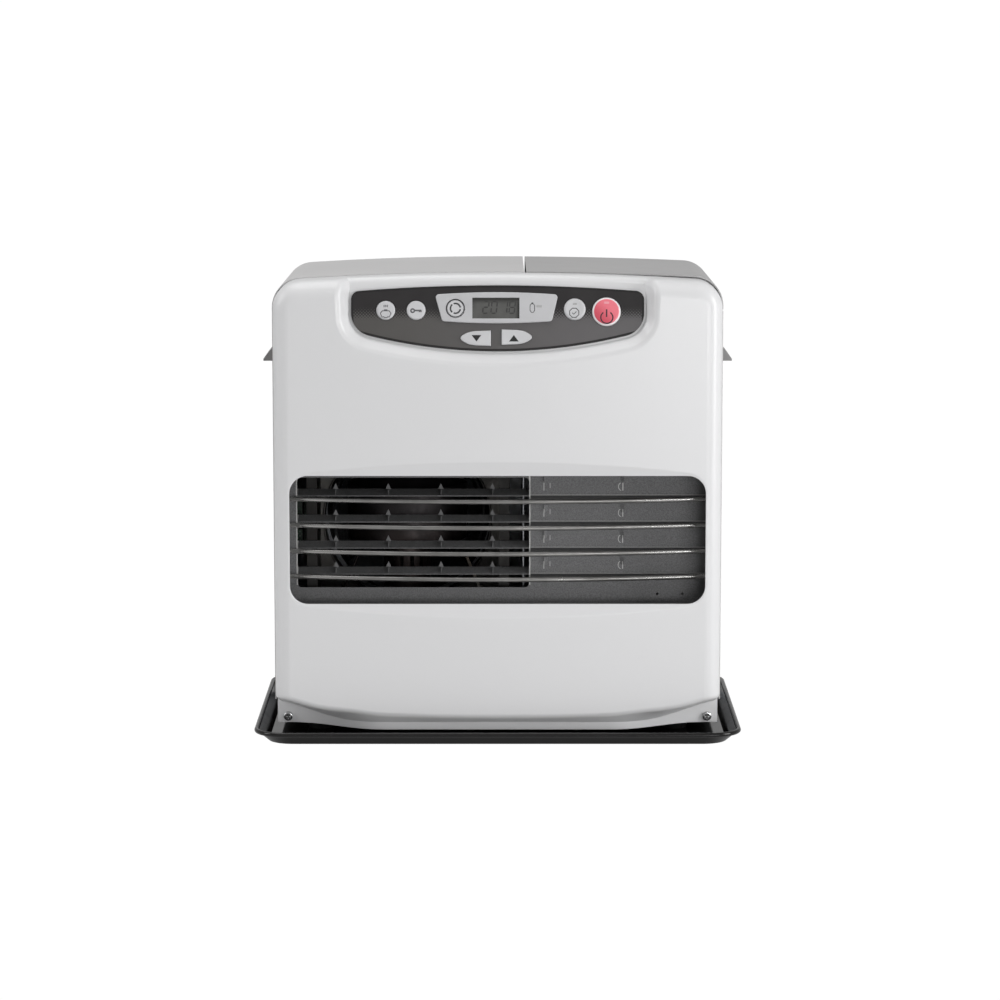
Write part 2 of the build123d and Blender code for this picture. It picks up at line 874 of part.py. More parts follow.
def stepped_sheet():
    """The plate's own sheet: upright leaves that lean back a little, each on a narrow ledge."""
    sheet = louvre_sheet
    front = louvre_y
    back = louvre_y + louvre_step
    section = Sketch()
    for low, top in louvre_leaves():
        leaf = Polyline((front, low), (back, top), (back + sheet, top), (front + sheet, low), (front, low))
        ledge = Polyline(
            (front, low), (back + sheet, low), (back + sheet, low - sheet), (front, low - sheet), (front, low)
        )
        section = section + make_face(leaf) + make_face(ledge)
    return Pos(-louvre_half, 0, 0) * extrude(Plane.YZ * section, 2 * louvre_half, dir=(1, 0, 0))


def louvre_leaves():
    """Bottom and top of each leaf of the plate."""
    levels = (louvre_low,) + slat_lips + (louvre_high,)
    return list(zip(levels[:-1], levels[1:]))


def slat(lip):
    """Open slat that slopes up into the duct, stiffened by gussets."""
    sheet = louvre_sheet
    front = louvre_y
    back = louvre_y + slat_depth
    blade = make_face(Plane.YZ * Polyline(
        (front, lip - 1), (front, lip), (back, lip + slat_rise),
        (back, lip + slat_rise - sheet), (front + sheet, lip - 1), (front, lip - 1),
    ))
    gusset = make_face(Plane.YZ * Polyline(
        (front + 1, lip), (front + 4, lip + gusset_height), (back, lip + slat_rise),
        (back, lip + slat_rise - sheet), (front + 1, lip),
    ))
    body = Pos(bay_left - 1, 0, 0) * extrude(blade, bay_right - bay_left + 2, dir=(1, 0, 0))
    for x in gusset_places:
        body = body + Pos(x, 0, 0) * extrude(gusset, sheet, dir=(1, 0, 0))
    return body


def lanced_mark():
    """Half-round lanced bump, proudest at its flat end, drawn with that end at the origin."""
    length, height = mark_size
    tongue = Circle(height / 2) + Pos(-length, 0) * Rectangle(2 * length, height)
    outline = Pos(length / 2, 0) * Rectangle(length, height) & Pos(length - height / 2, 0) * tongue
    rise = Polyline((0, -mark_proud), (length, louvre_step), (0, louvre_step), (0, -mark_proud))
    ramp = extrude(Plane.XY * make_face(rise), height, both=True)
    return ramp & Plane.XZ * extrude(outline, 4 * louvre_step, both=True)


def side_flange(side):
    """Flange at one end of the plate, with the rods' holes and the foot that fixes to the cabinet."""
    edge = side * louvre_half
    inner, outer = sorted((edge, edge - side * louvre_sheet))
    flange = block(inner, outer, cabinet_front - 20, cabinet_front, flange_low, flange_high)
    near, far = sorted((edge, edge + side * flange_foot))
    flange = flange + block(near, far, cabinet_front - 1, cabinet_front, flange_low, flange_high)
    for z in rod_heights:
        flange = flange - along_x(rod_end_y, z, edge - 5, edge + 5, rod_diameter / 2 + rod_clearance)
    return flange


def louvre_plate():
    """Stepped front plate of the duct: open slats at the left, closed steps at the right."""
    plate = stepped_sheet()
    bay = Pos((bay_left + bay_right) / 2, louvre_y, (bay_low + bay_high) / 2)
    opening = Plane.XZ * RectangleRounded(bay_right - bay_left, bay_high - bay_low, bay_corner)
    plate = plate - bay * extrude(opening, 10, both=True)
    for lip in slat_lips:
        plate = plate + slat(lip)
    for low, top in louvre_leaves()[1:]:
        for x, turn in zip(mark_places, (0, 180)):
            plate = plate + Pos(x, louvre_y, (low + top) / 2) * Rot(0, turn, 0) * lanced_mark()
    for x in vent_places:
        plate = plate - along_y(x, vent_up, louvre_y - 5, louvre_y + 10, vent_radius)
    return plate + side_flange(-1) + side_flange(1)


def guard_rods():
    """Four bowed steel rods across the outlet."""
    group = []
    end = louvre_half + 1.5
    for z in rod_heights:
        path = ThreePointArc((-end, rod_end_y, z), (0, rod_bow_y, z), (end, rod_end_y, z))
        group.append(sweep(Plane(origin=path @ 0, z_dir=path % 0) * Circle(rod_diameter / 2), path=path))
    return group


# Warm air duct

def warm_air_duct():
    """Sheet steel channel from the fan to the outlet."""
    outer = block(duct_left, duct_right, duct_front, duct_back, duct_low, duct_high)
    inner = block(
        duct_left + duct_sheet, duct_right - duct_sheet, duct_front - 1, duct_back + 1,
        duct_low + duct_sheet, duct_high - duct_sheet,
    )
    duct = outer - inner
    duct = duct - upright(chamber_x, chamber_y, duct_low - 1, duct_low + 2, neck_radius - 1)
    for foot, radius in ((igniter_foot, igniter_radius), (sensor_foot, sensor_radius)):
        duct = duct - upright(foot[0], foot[1], duct_low - 1, duct_low + 2, radius + 0.5)
    for x in (duct_left, duct_right):
        duct = duct + block(x - 5, x + 5, duct_front, duct_front + duct_sheet, bay_low - 20, bay_high + 20)
    return duct


def duct_feet():
    """Legs that stand the duct on the base pan."""
    group = []
    for x, y in duct_feet_at:
        group.append(block(x - 8, x + 8, y - 1, y + 1, base_height + base_sheet, duct_low))
    return group


def fan_shroud():
    """Back plate of the duct with the fan's bell-mouthed orifice."""
    plate = block(duct_left - 6, duct_right + 6, shroud_y, shroud_y + 1, duct_low - 4, duct_high + 4)
    plate = plate - along_y(fan_x, fan_z, shroud_y - 5, shroud_y + 5, orifice_radius)
    ring = along_y(fan_x, fan_z, shroud_y, shroud_y + shroud_depth, orifice_radius + 1)
    ring = ring - along_y(fan_x, fan_z, shroud_y - 1, shroud_y + shroud_depth + 1, orifice_radius)
    lip = along_y(fan_x, fan_z, shroud_y - 2, shroud_y, orifice_radius + 2.5)
    lip = lip - along_y(fan_x, fan_z, shroud_y - 3, shroud_y + 1, orifice_radius)
    lip = chamfer(lip.faces().sort_by(Axis.Y)[0].edges(), 0.9)
    return plate + ring + lip


def fan_blade():
    """Five-bladed axial fan."""
    near = shroud_y + hub_near
    far = near + hub_deep
    hub = along_y(fan_x, fan_z, near, far, hub_radius)
    hub = fillet(hub.faces().sort_by(Axis.Y)[0].edges(), 4)
    fan = hub - along_y(fan_x, fan_z, near + 4, far + 1, shaft_radius + shaft_clearance)
    root = Pos(0, 0, hub_radius - 2) * Rot(0, 0, blade_root_turn) * Rectangle(*blade_root)
    tip = Pos(0, 0, fan_radius - 3) * Rot(0, 0, blade_tip_turn) * Rectangle(*blade_tip)
    sweep_round = Rot(90, 0, 0) * Cylinder(fan_radius, 4 * hub_deep)
    blade = loft([root, tip]) & sweep_round
    for turn in range(blade_count):
        fan = fan + Pos(fan_x, (near + far) / 2 - 1, fan_z) * Rot(0, turn * 360 / blade_count, 0) * blade
    return fan


def fan_motor():
    """Shaded-pole motor on the guard's centre plate, with its shaft."""
    front = shroud_y + motor_front
    body = along_y(fan_x, fan_z, front, guard_y, motor_radius)
    body = fillet(body.faces().sort_by(Axis.Y)[0].edges(), 4)
    shaft = along_y(fan_x, fan_z, shroud_y + hub_near + 5, front + 1, shaft_radius)
    return body + shaft


def fan_guard():
    """Pressed guard over the fan opening, with the plate that carries the motor."""
    def ring(radius, width):
        edge = along_y(fan_x, fan_z, guard_y, guard_y + guard_sheet, radius + width / 2)
        return edge - along_y(fan_x, fan_z, guard_y - 1, guard_y + guard_sheet + 1, radius - width / 2)

    guard = along_y(fan_x, fan_z, guard_y, guard_y + guard_sheet, motor_radius)
    for radius in guard_rings:
        guard = guard + ring(radius, guard_bar)
    reach = guard_rings[-1]
    seat = cabinet_back - cabinet_sheet - guard_y
    for turn in range(4):
        spoke = block(motor_radius - 1, reach, 0, guard_sheet, -guard_bar, guard_bar)
        tab = block(reach - 1, reach + 9, 0, guard_sheet, -6, 6)
        tab = tab + block(reach + 7.5, reach + 9, 0, seat, -6, 6)
        arm = Pos(fan_x, guard_y, fan_z) * Rot(0, 45 + 90 * turn, 0) * (spoke + tab)
        guard = guard + arm
    return guard


def filter_rails():
    """Two channels and a stop on the back that hold the air filter."""
    rails = None
    for side in (-1, 1):
        inside = fan_x + side * (filter_half + 0.3)
        outside = inside + side * 2
        hook = inside - side * 3
        y0 = cabinet_back
        y1 = cabinet_back + filter_thickness + 0.6
        low = fan_z - filter_half - 2
        high = fan_z + filter_half
        rail = block(min(inside, outside), max(inside, outside), y0, y1 + 1.5, low, high)
        rail = rail + block(min(hook, outside), max(hook, outside), y1, y1 + 1.5, low, high)
        rails = rail if rails is None else rails + rail
    low = fan_z - filter_half - 2
    reach = filter_half + 1
    stop = block(fan_x - reach, fan_x + reach, cabinet_back, cabinet_back + 6, low, low + 1.7)
    return rails + stop


def air_filter():
    """Moulded filter frame with its net, which slides up out of its rails."""
    near = cabinet_back + 0.3
    far = near + filter_thickness
    low = fan_z - filter_half
    high = fan_z + filter_half
    left = fan_x - filter_half
    right = fan_x + filter_half
    rim = filter_rim
    frame = block(left, right, near, far, low, high)
    frame = frame - block(left + rim, right - rim, near - 1, far + 1, low + rim, high - rim)
    span = 2 * (filter_half - rim)
    for n in range(1, filter_cells):
        offset = rim + span * n / filter_cells
        frame = frame + block(left + offset - 1, left + offset + 1, far - filter_bar, far, low, high)
        frame = frame + block(left, right, far - filter_bar, far, low + offset - 1, low + offset + 1)
    middle = far - filter_bar / 2
    net = block(
        left + rim - 1, right - rim + 1, middle - filter_net, middle, low + rim - 1, high - rim + 1
    )
    tab = block(fan_x - 16, fan_x + 16, far - 2, far + 3, high - 6, high + 8)
    return frame + net + tab


# Combustion

def drum_form(inset):
    """Solid of revolution of the chamber above its slots: shoulder, drum and domed top."""
    neck = neck_radius - inset
    wide = chamber_radius - inset
    top = chamber_top - inset
    shoulder = neck_top + inset
    low = neck_top - slot_margin - (1 if inset else 0)
    profile = make_face(Plane.XZ * (
        Polyline(
            (dome_flat, top), (0, top), (0, low), (neck, low), (neck, shoulder),
            (wide, shoulder + 8), (wide, top - 16), (wide * 0.72, top - 5), (dome_flat, top),
        )
    ))
    return revolve(profile, Axis.Z)


def combustion_chamber():
    """Heat-tinted steel drum over a slotted neck."""
    floor = duct_low + duct_sheet
    slots_low = neck_top - slot_margin - slot_height
    drum = drum_form(0) - drum_form(chamber_sheet)
    wall = Circle(neck_radius) - Circle(neck_radius - chamber_sheet)
    bars = wall
    for turn in range(slot_count):
        bars = bars - Rot(0, 0, turn * 360 / slot_count) * Pos(neck_radius, 0) * Rectangle(8, slot_width)
    neck = extrude(Pos(0, 0, floor) * wall, slots_low - floor, dir=(0, 0, 1))
    grate = extrude(Pos(0, 0, slots_low) * bars, slot_height, dir=(0, 0, 1))
    flange = Circle(neck_radius + 6) - Circle(neck_radius - chamber_sheet)
    flange = extrude(Pos(0, 0, floor) * flange, chamber_sheet, dir=(0, 0, 1))
    return Pos(chamber_x, chamber_y, 0) * (drum + neck + grate + flange)


def burner_pot():
    """Burner pot below the duct floor, with its fixing flange."""
    pot = upright(chamber_x, chamber_y, pot_low, duct_low, pot_radius)
    pot = pot + upright(chamber_x, chamber_y, duct_low - 2, duct_low, pot_flange)
    return pot - upright(chamber_x, chamber_y, pot_low + 4, duct_low + 1, neck_radius - chamber_sheet)


def burner_stand():
    """Bracket that holds the burner pot above the base pan."""
    low = base_height + base_sheet
    y0 = chamber_y - stand_deep
    y1 = chamber_y + stand_deep
    stand = block(chamber_x - stand_half, chamber_x + stand_half, y0, y1, pot_low - stand_sheet, pot_low)
    for side in (-1, 1):
        edge = chamber_x + side * stand_half
        near, far = sorted((edge, edge - side * stand_sheet))
        stand = stand + block(near, far, y0, y1, low, pot_low)
        near, far = sorted((edge, edge + side * 10))
        stand = stand + block(near, far, y0, y1, low, low + stand_sheet)
    return stand


def electrode(foot, tip, ceramic, wire):
    """Ceramic-sleeved rod through the duct floor, with its fixing disc."""
    floor = duct_low + duct_sheet
    start = (foot[0], foot[1], floor - 12)
    middle = (foot[0], foot[1], floor + 14)
    sleeve = tube_between(start, middle, ceramic)
    disc = upright(foot[0], foot[1], floor, floor + 2, ceramic + 4)
    ball = Pos(*middle) * Sphere(ceramic)
    shoulder = tuple(m + (t - m) * 0.45 for m, t in zip(middle, tip))
    slanted = tube_between(middle, shoulder, ceramic)
    return sleeve + disc + ball + slanted + tube_between(middle, tip, wire)


def ignition_electrode():
    """Igniter that slants up beside the neck."""
    return electrode(igniter_foot, igniter_tip, igniter_radius, 1.4)


def flame_sensor():
    """Flame rod on the other side of the neck."""
    return electrode(sensor_foot, sensor_tip, sensor_radius, 1.2)


def burner_blower():
    """Volute housing of the combustion air blower, with its outlet to the burner pot."""
    wall = blower_wall
    near = blower_front
    far = blower_front + blower_deep
    low, high = [blower_z + height for height in blower_throat]
    shell = along_y(blower_x, blower_z, near, far, blower_radius)
    outlet = block(blower_x, chamber_x, near, far, low, high)
    floor = base_height + base_sheet
    foot = block(blower_x - 20, blower_x + 20, near, far, floor, blower_z - blower_radius + 3)
    room = along_y(blower_x, blower_z, near + wall, far - wall, blower_radius - 2 * wall)
    throat = block(blower_x, chamber_x, near + wall, far - wall, low + wall, high - wall)
    shell = shell + outlet + foot - room - throat
    shell = shell - upright(chamber_x, chamber_y, pot_low - 6, duct_low, pot_radius)
    shell = shell - along_y(blower_x, blower_z, near - 1, near + wall + 1, blower_eye)
    return shell - along_y(blower_x, blower_z, far - wall - 1, far + 1, wheel_hub)


def blower_impeller():
    """Squirrel-cage wheel of the blower."""
    near = blower_front + 4
    far = blower_front + blower_deep - 4
    sheet = blower_wall
    wheel = along_y(blower_x, blower_z, far - sheet, far, wheel_radius)
    ring = along_y(blower_x, blower_z, near, near + sheet, wheel_radius)
    wheel = wheel + (ring - along_y(blower_x, blower_z, near - 1, near + 2 * sheet, wheel_eye))
    wheel = wheel + along_y(blower_x, blower_z, far - 12, far - 1, wheel_hub)
    half = (far - near) / 2 - sheet / 2
    vane = block(wheel_eye + 0.6, wheel_radius - 0.6, -half, half, -vane_sheet / 2, vane_sheet / 2)
    for turn in range(vane_count):
        place = Pos(blower_x, (near + far) / 2, blower_z) * Rot(0, turn * 360 / vane_count, 0)
        wheel = wheel + place * vane
    return wheel - along_y(blower_x, blower_z, near, far + 2, shaft_radius + shaft_clearance)


def blower_motor():
    """Motor of the blower, with its shaft."""
    far = blower_front + blower_deep
    body = along_y(blower_x, blower_z, far, far + 28, 20)
    return body + along_y(blower_x, blower_z, far - 15, far + 1, shaft_radius)


# Fuel

def tank_partition():
    """Upright sheet between the warm air side and the tank bay."""
    wall = block(
        partition_x, partition_x + 1, cabinet_front + 1, cabinet_back - 3,
        base_height + base_sheet, cabinet_height - crown_rise,
    )
    slat_room = louvre_y + slat_depth + 1
    wall = wall - block(partition_x - 1, partition_x + 2, cabinet_front, slat_room, bay_low - 4, bay_high + 2)
    wall = wall - along_x(pump_y, pipe_high, partition_x - 2, partition_x + 3, pipe_radius + 2)
    low = base_height + base_sheet
    shelf = block(partition_x - 8, partition_x + 1, cabinet_front + 1, cabinet_back - 3, low, low + 1)
    return wall + shelf


def fuel_tank():
    """Removable steel tank with rounded edges, a raised neck below and two ears on top."""
    body = rounded_block(tank_left, tank_right, tank_front, tank_back, tank_bottom, tank_top, tank_corner)
    body = fillet(body.faces().sort_by(Axis.Z)[-1].edges(), tank_edge)
    inset, tall, out = tank_band
    for z in (tank_bottom + inset, tank_top - inset):
        body = body + rounded_block(
            tank_left - out, tank_right + out, tank_front - out, tank_back + out, z, z + tall, tank_corner
        )
    inner = rounded_block(
        tank_left + tank_sheet, tank_right - tank_sheet, tank_front + tank_sheet, tank_back - tank_sheet,
        tank_bottom + tank_sheet, tank_top - tank_sheet, tank_corner - tank_sheet,
    )
    inner = fillet(inner.faces().sort_by(Axis.Z)[-1].edges(), tank_edge - tank_sheet)
    body = body - inner
    outer = cap_radius - cap_wall
    body = body + upright(cap_x, cap_y, tank_bottom - neck_height, tank_bottom + tank_sheet, outer)
    body = body - upright(cap_x, cap_y, tank_bottom - neck_height - 1, tank_bottom + 5, outer - tank_sheet)
    for side in (-1, 1):
        x = cap_x + side * bail_half
        ear = block(x - 1.5, x + 1.5, bail_y - 5, bail_y + 5, tank_top, bail_z)
        ear = ear + along_x(bail_y, bail_z, x - 1.5, x + 1.5, 5)
        body = body + ear - along_x(bail_y, bail_z, x - 3, x + 3, bail_radius + hinge_clearance)
    return body


def tank_handle():
    """Bail of the tank, folded forward under the lid."""
    z = bail_z
    far = bail_y - bail_reach
    out = bail_half + 6
    path = FilletPolyline(
        (cap_x - bail_half + 3.5, bail_y, z), (cap_x - out, bail_y, z), (cap_x - out, far, z),
        (cap_x + out, far, z), (cap_x + out, bail_y, z), (cap_x + bail_half - 3.5, bail_y, z),
        radius=2.5,
    )
    bail = sweep(Plane(origin=path @ 0, z_dir=path % 0) * Circle(bail_radius), path=path)
    grip = along_x(far, z, cap_x - 30, cap_x + 30, 5)
    return bail + grip


def tank_cap():
    """Screw cap under the tank, with the valve pin that the sump lifts."""
    mouth = tank_bottom - neck_height - 1
    low = mouth - 5
    radius, length = valve_pin
    cap = upright(cap_x, cap_y, low, tank_bottom - 1, cap_radius)
    cap = cap - upright(cap_x, cap_y, mouth, tank_bottom, cap_radius - cap_wall)
    return cap + upright(cap_x, cap_y, low - length, low + 1, radius)


def tank_gauge():
    """Clear strip in the tank's front that shows the level."""
    left = tank_left + 22
    return block(left, left + 18, tank_front - 2, tank_front, tank_bottom + 120, tank_top - 100)


def fuel_sump():
    """Fixed fuel sump below the tank, with the collar that the tank stands on."""
    low = base_height + base_sheet
    sheet = sump_sheet
    box = rounded_block(sump_left, sump_right, sump_front, sump_back, sump_low, sump_high, sump_corner)
    box = box + upright(cap_x, cap_y, sump_high, tank_bottom - seat_gap, collar_radius)
    box = box - rounded_block(
        sump_left + sheet, sump_right - sheet, sump_front + sheet, sump_back - sheet,
        sump_low + sheet, sump_high - sheet, sump_corner - sheet,
    )
    box = box - upright(cap_x, cap_y, sump_high - 5, tank_bottom + 1, collar_bore)
    inset = sump_corner + 2
    for x in (sump_left + inset, sump_right - inset):
        for y in (sump_front + inset, sump_back - inset):
            box = box + upright(x, y, low, sump_low, sump_leg)
    return box


def sump_strainer():
    """Perforated cup that catches dirt below the tank's cap."""
    top = tank_bottom - 6
    low = sump_low + 8
    bore = strainer_radius - 1
    cup = upright(cap_x, cap_y, low, top, strainer_radius) - upright(cap_x, cap_y, low + 1, top + 1, bore)
    rim = upright(cap_x, cap_y, top - 1, top, strainer_radius + 1)
    rim = rim - upright(cap_x, cap_y, top - 2, top + 1, bore)
    slot = Pos(0, 0, (low + top) / 2 - 5) * block(bore - 3, bore + 4, -2, 2, -8, 8)
    for turn in range(strainer_slots):
        cup = cup - Pos(cap_x, cap_y, 0) * Rot(0, 0, turn * 360 / strainer_slots) * slot
    return cup + rim


def fuel_pump():
    """Solenoid pump on the sump."""
    top = sump_high + pump_height
    radius, low, high = pump_coil
    stub, length = pump_stub
    body = upright(pump_x, pump_y, sump_high, top, pump_radius)
    coil = upright(pump_x, pump_y, sump_high + low, sump_high + high, radius)
    return body + coil + upright(pump_x, pump_y, top, top + length, stub)


def fuel_pipe():
    """Thin copper pipe from the pump, through the partition, to the burner pot."""
    drop = (duct_right + 5 + partition_x) / 2
    start = sump_high + pump_height + pump_stub[1]
    path = FilletPolyline(
        (pump_x, pump_y, start), (pump_x, pump_y, pipe_high), (drop, pump_y, pipe_high),
        (drop, pump_y, pipe_low), (drop, chamber_y, pipe_low), (chamber_x + pot_radius, chamber_y, pipe_low),
        radius=6,
    )
    return sweep(Plane(origin=path @ 0, z_dir=path % 0) * Circle(pipe_radius), path=path)


# Handles, electrics and sensors

def side_handle(side):
    """Hooded finger grip with its pocket through the cabinet's side."""
    x0 = half_cabinet
    tip = x0 + handle_reach
    tip_inside = tip - handle_wall - 0.2
    hood_outer = make_face(Plane.XZ * Polyline(
        (x0, handle_top + 4), (tip, handle_low + 2), (tip, handle_low), (x0, handle_low),
        (x0, handle_top + 4),
    ))
    hood_inner = make_face(Plane.XZ * Polyline(
        (x0 - 1, handle_top + 1), (tip_inside, handle_low + 1), (tip_inside, handle_low - 1),
        (x0 - 1, handle_low - 1), (x0 - 1, handle_top + 1),
    ))
    half = handle_half
    hood = Pos(0, -half, 0) * extrude(hood_outer, 2 * half, dir=(0, 1, 0))
    hollow = extrude(hood_inner, 2 * (half - handle_wall), dir=(0, 1, 0))
    hood = hood - Pos(0, -half + handle_wall, 0) * hollow
    plate = block(x0, x0 + handle_plate, -half, half, pocket_low, handle_top + 4)
    inside = half - 4
    pocket = block(x0 - pocket_depth, x0, -inside, inside, pocket_low + 3, handle_top - 1)
    room = block(
        x0 - pocket_depth + handle_wall, x0 + 2, -inside + handle_wall, inside - handle_wall,
        pocket_low + 3 + handle_wall, handle_top - 1 - handle_wall,
    )
    grip = plate + hood + pocket - room
    if side < 0:
        grip = mirror(grip, about=Plane.YZ)
    return Pos(0, handle_y, 0) * grip


def left_handle():
    return side_handle(-1)


def right_handle():
    return side_handle(1)


def power_board():
    """Mains circuit board on the left side, with its transformer and relays."""
    wall = -half_cabinet + cabinet_sheet
    near = wall + mains_standoff
    face = near + board_sheet
    front, back, low, high = mains_board
    board = block(near, face, front, back, low, high)
    for y0, y1, z0, z1, tall in mains_lumps:
        board = board + block(face, face + tall, y0, y1, z0, z1)
    for y in (front + 6, back - 6):
        for z in (low + 6, high - 6):
            board = board + along_x(y, z, wall, near, 3)
    return board


def tilt_switch():
    """Tip-over switch on the base pan."""
    x, y = tilt_at
    width, deep, tall = tilt_size
    seat = Pos(x, y, base_height + base_sheet)
    case = seat * Pos(0, 0, tall / 2) * Box(width, deep, tall)
    return case + seat * Pos(0, 0, 1) * Box(width + 8, deep + 4, 2)


def room_sensor():
    """Room temperature sensor on a clip at the back."""
    x, z = sensor_at
    width, deep, tall = sensor_clip
    clip = Pos(x, cabinet_back + deep / 2, z) * Box(width, deep, tall)
    return clip + along_y(x, z, cabinet_back + deep, cabinet_back + deep + 6, sensor_bead)


MAKERS = (
    drip_tray, base_pan, feet, cabinet_shell, right_side_panel, rear_panel, cord_gland, rear_screws,
    front_panel, panel_screws, tank_lid, lid_brackets,
    control_fascia, display_bezel, display_window, control_board,
    save_button, lock_button, timer_button, power_button, enter_button, down_button, up_button,
    louvre_plate, guard_rods, warm_air_duct, duct_feet, fan_shroud, fan_blade, fan_motor, fan_guard,
    filter_rails, air_filter, combustion_chamber, burner_pot, burner_stand,
    ignition_electrode, flame_sensor, burner_blower, blower_impeller, blower_motor,
    tank_partition, fuel_tank, tank_handle, tank_cap, tank_gauge, fuel_sump, sump_strainer,
    fuel_pump, fuel_pipe, left_handle, right_handle, power_board, tilt_switch, room_sensor,
)


def write_parts():
    """Write one file for each piece."""
    os.makedirs("parts", exist_ok=True)
    for maker in MAKERS:
        made = maker()
        if isinstance(made, list):
            made = Compound(children=made)
        export_step(made, f"parts/{maker.__name__}.step")


if __name__ == "__main__":
    write_parts()
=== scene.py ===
import math

import bmesh
import bpy
from mathutils import Matrix, Vector


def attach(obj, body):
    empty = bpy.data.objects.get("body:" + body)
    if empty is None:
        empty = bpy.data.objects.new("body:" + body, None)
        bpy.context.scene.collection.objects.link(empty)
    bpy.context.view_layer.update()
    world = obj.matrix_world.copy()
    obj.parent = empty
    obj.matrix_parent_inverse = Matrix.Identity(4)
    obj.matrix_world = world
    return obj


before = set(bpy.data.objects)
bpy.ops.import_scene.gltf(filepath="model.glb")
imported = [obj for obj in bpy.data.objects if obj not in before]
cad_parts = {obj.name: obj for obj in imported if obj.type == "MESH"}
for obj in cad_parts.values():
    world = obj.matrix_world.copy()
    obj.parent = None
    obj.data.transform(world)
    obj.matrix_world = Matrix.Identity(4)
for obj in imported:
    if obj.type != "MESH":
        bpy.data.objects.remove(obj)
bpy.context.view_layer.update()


# Camera and light
# A long lens from 3.3 m away and a little above, as the photograph was taken. Soft boxes light the heater
# from overhead, from both sides and low from the front, the strongest on its right.

camera_distance = 3.3
camera_height = 0.673
look_down = 7.94
lean = -0.04

camera = bpy.data.objects.new("camera", bpy.data.cameras.new("camera"))
bpy.context.scene.collection.objects.link(camera)
camera.data.lens = 123.4
camera.data.sensor_width = 36.0
camera.data.clip_end = 50.0
camera.location = (0.0, -camera_distance, camera_height)
camera.rotation_euler = (math.radians(90 - look_down), 0.0, math.radians(lean))
bpy.context.scene.camera = camera


def soft_box(name, at, aim, width, height, watts):
    """A rectangular studio lamp turned towards a point."""
    lamp = bpy.data.lights.new(name, "AREA")
    lamp.shape = "RECTANGLE"
    lamp.size = width
    lamp.size_y = height
    lamp.energy = watts
    holder = bpy.data.objects.new(name, lamp)
    bpy.context.scene.collection.objects.link(holder)
    holder.location = at
    holder.rotation_euler = (Vector(aim) - Vector(at)).to_track_quat("-Z", "Y").to_euler()


soft_box("overhead_lamp", (-0.5, -0.1, 2.1), (0.0, 0.0, 0.3), 1.8, 1.4, 16.5)
soft_box("right_lamp", (2.2, -0.95, 0.75), (0.0, 0.0, 0.22), 0.9, 1.6, 28.5)
soft_box("left_lamp", (-2.4, -0.55, 1.4), (0.0, 0.0, 0.3), 0.8, 1.4, 14.0)
soft_box("front_lamp", (1.2, -3.3, 0.28), (0.0, 0.0, 0.12), 1.7, 0.5, 23.5)

bpy.context.scene.view_settings.view_transform = "Standard"


# Floor
# A plain white sheet to stand on. The camera sees it and the surroundings as pure white, as in the
# photograph. To reflections and to soft light they are dimmer.

class Wire:
    """One socket in a material. Arithmetic on wires adds the nodes that work it out."""

    def __init__(self, tree, socket=None):
        self.tree = tree
        self.socket = socket

    def node(self, kind, settings=None, sockets=None, give=0):
        """Add a node, choose its settings, fill its sockets and return one of its outputs."""
        made = self.tree.nodes.new("ShaderNode" + kind)
        for name, value in (settings or {}).items():
            setattr(made, name, value)
        for name, value in (sockets or {}).items():
            if isinstance(value, Wire):
                self.tree.links.new(value.socket, made.inputs[name])
            else:
                made.inputs[name].default_value = value
        return Wire(self.tree, made.outputs[give] if made.outputs else None)

    def split(self, kind, sockets=None):
        """Every output of a node, each as a wire."""
        first = self.node(kind, None, sockets)
        return [Wire(self.tree, out) for out in first.socket.node.outputs]

    def maths(self, operation, first, second=0.0):
        """One step of arithmetic on two values."""
        return self.node("Math", {"operation": operation}, {0: first, 1: second})

    def __add__(self, other):
        return self.maths("ADD", self, other)

    __radd__ = __add__

    def __sub__(self, other):
        return self.maths("SUBTRACT", self, other)

    def __rsub__(self, other):
        return self.maths("SUBTRACT", other, self)

    def __mul__(self, other):
        return self.maths("MULTIPLY", self, other)

    __rmul__ = __mul__

    def size(self):
        """This wire without its sign."""
        return self.maths("ABSOLUTE", self)

    def steps(self, low, high, give_low=0.0, give_high=1.0):
        """Smooth change from one value to another as this wire goes from low to high."""
        return self.node(
            "MapRange", {"interpolation_type": "SMOOTHSTEP"},
            {"Value": self, "From Min": low, "From Max": high, "To Min": give_low, "To Max": give_high},
        )

    def past(self, edge, soft):
        """1 where this wire is past an edge, 0 before it, blurred by a little each way."""
        return self.steps(edge - soft, edge + soft)

    def before(self, edge, soft):
        """1 where this wire is before an edge, 0 past it, blurred by a little each way."""
        return self.steps(edge - soft, edge + soft, 1.0, 0.0)

    def band(self, middle, half, soft):
        """1 where this wire is within half a width of a middle, 0 outside it."""
        return (self - middle).size().before(half, soft)

    def mix(self, first, second, factor):
        """Blend of two colours."""
        return self.node("Mix", {"data_type": "RGBA"}, {0: factor, 6: first, 7: second}, give=2)

    def place(self):
        """Object coordinates, in metres."""
        return self.node("TexCoord", give=3)

    def axes(self):
        """The three object coordinates, each as a wire."""
        return self.split("SeparateXYZ", {"Vector": self.place()})

    def stretched(self, along_x, along_y, along_z):
        """Object coordinates with each axis scaled on its own."""
        x, y, z = self.axes()
        return self.node("CombineXYZ", None, {"X": x * along_x, "Y": y * along_y, "Z": z * along_z})

    def noise(self, scale, detail=2.0, place=None):
        """Cloudy noise from 0 to 1, with so many lumps to the metre and so many finer layers."""
        where = place or self.place()
        return self.node("TexNoise", None, {"Vector": where, "Scale": scale, "Detail": detail})

    def relief(self, height, depth):
        """Normal that a height of 0 to 1 gives, for a depth in metres."""
        return self.node("Bump", None, {"Strength": 0.6, "Distance": depth, "Height": height})


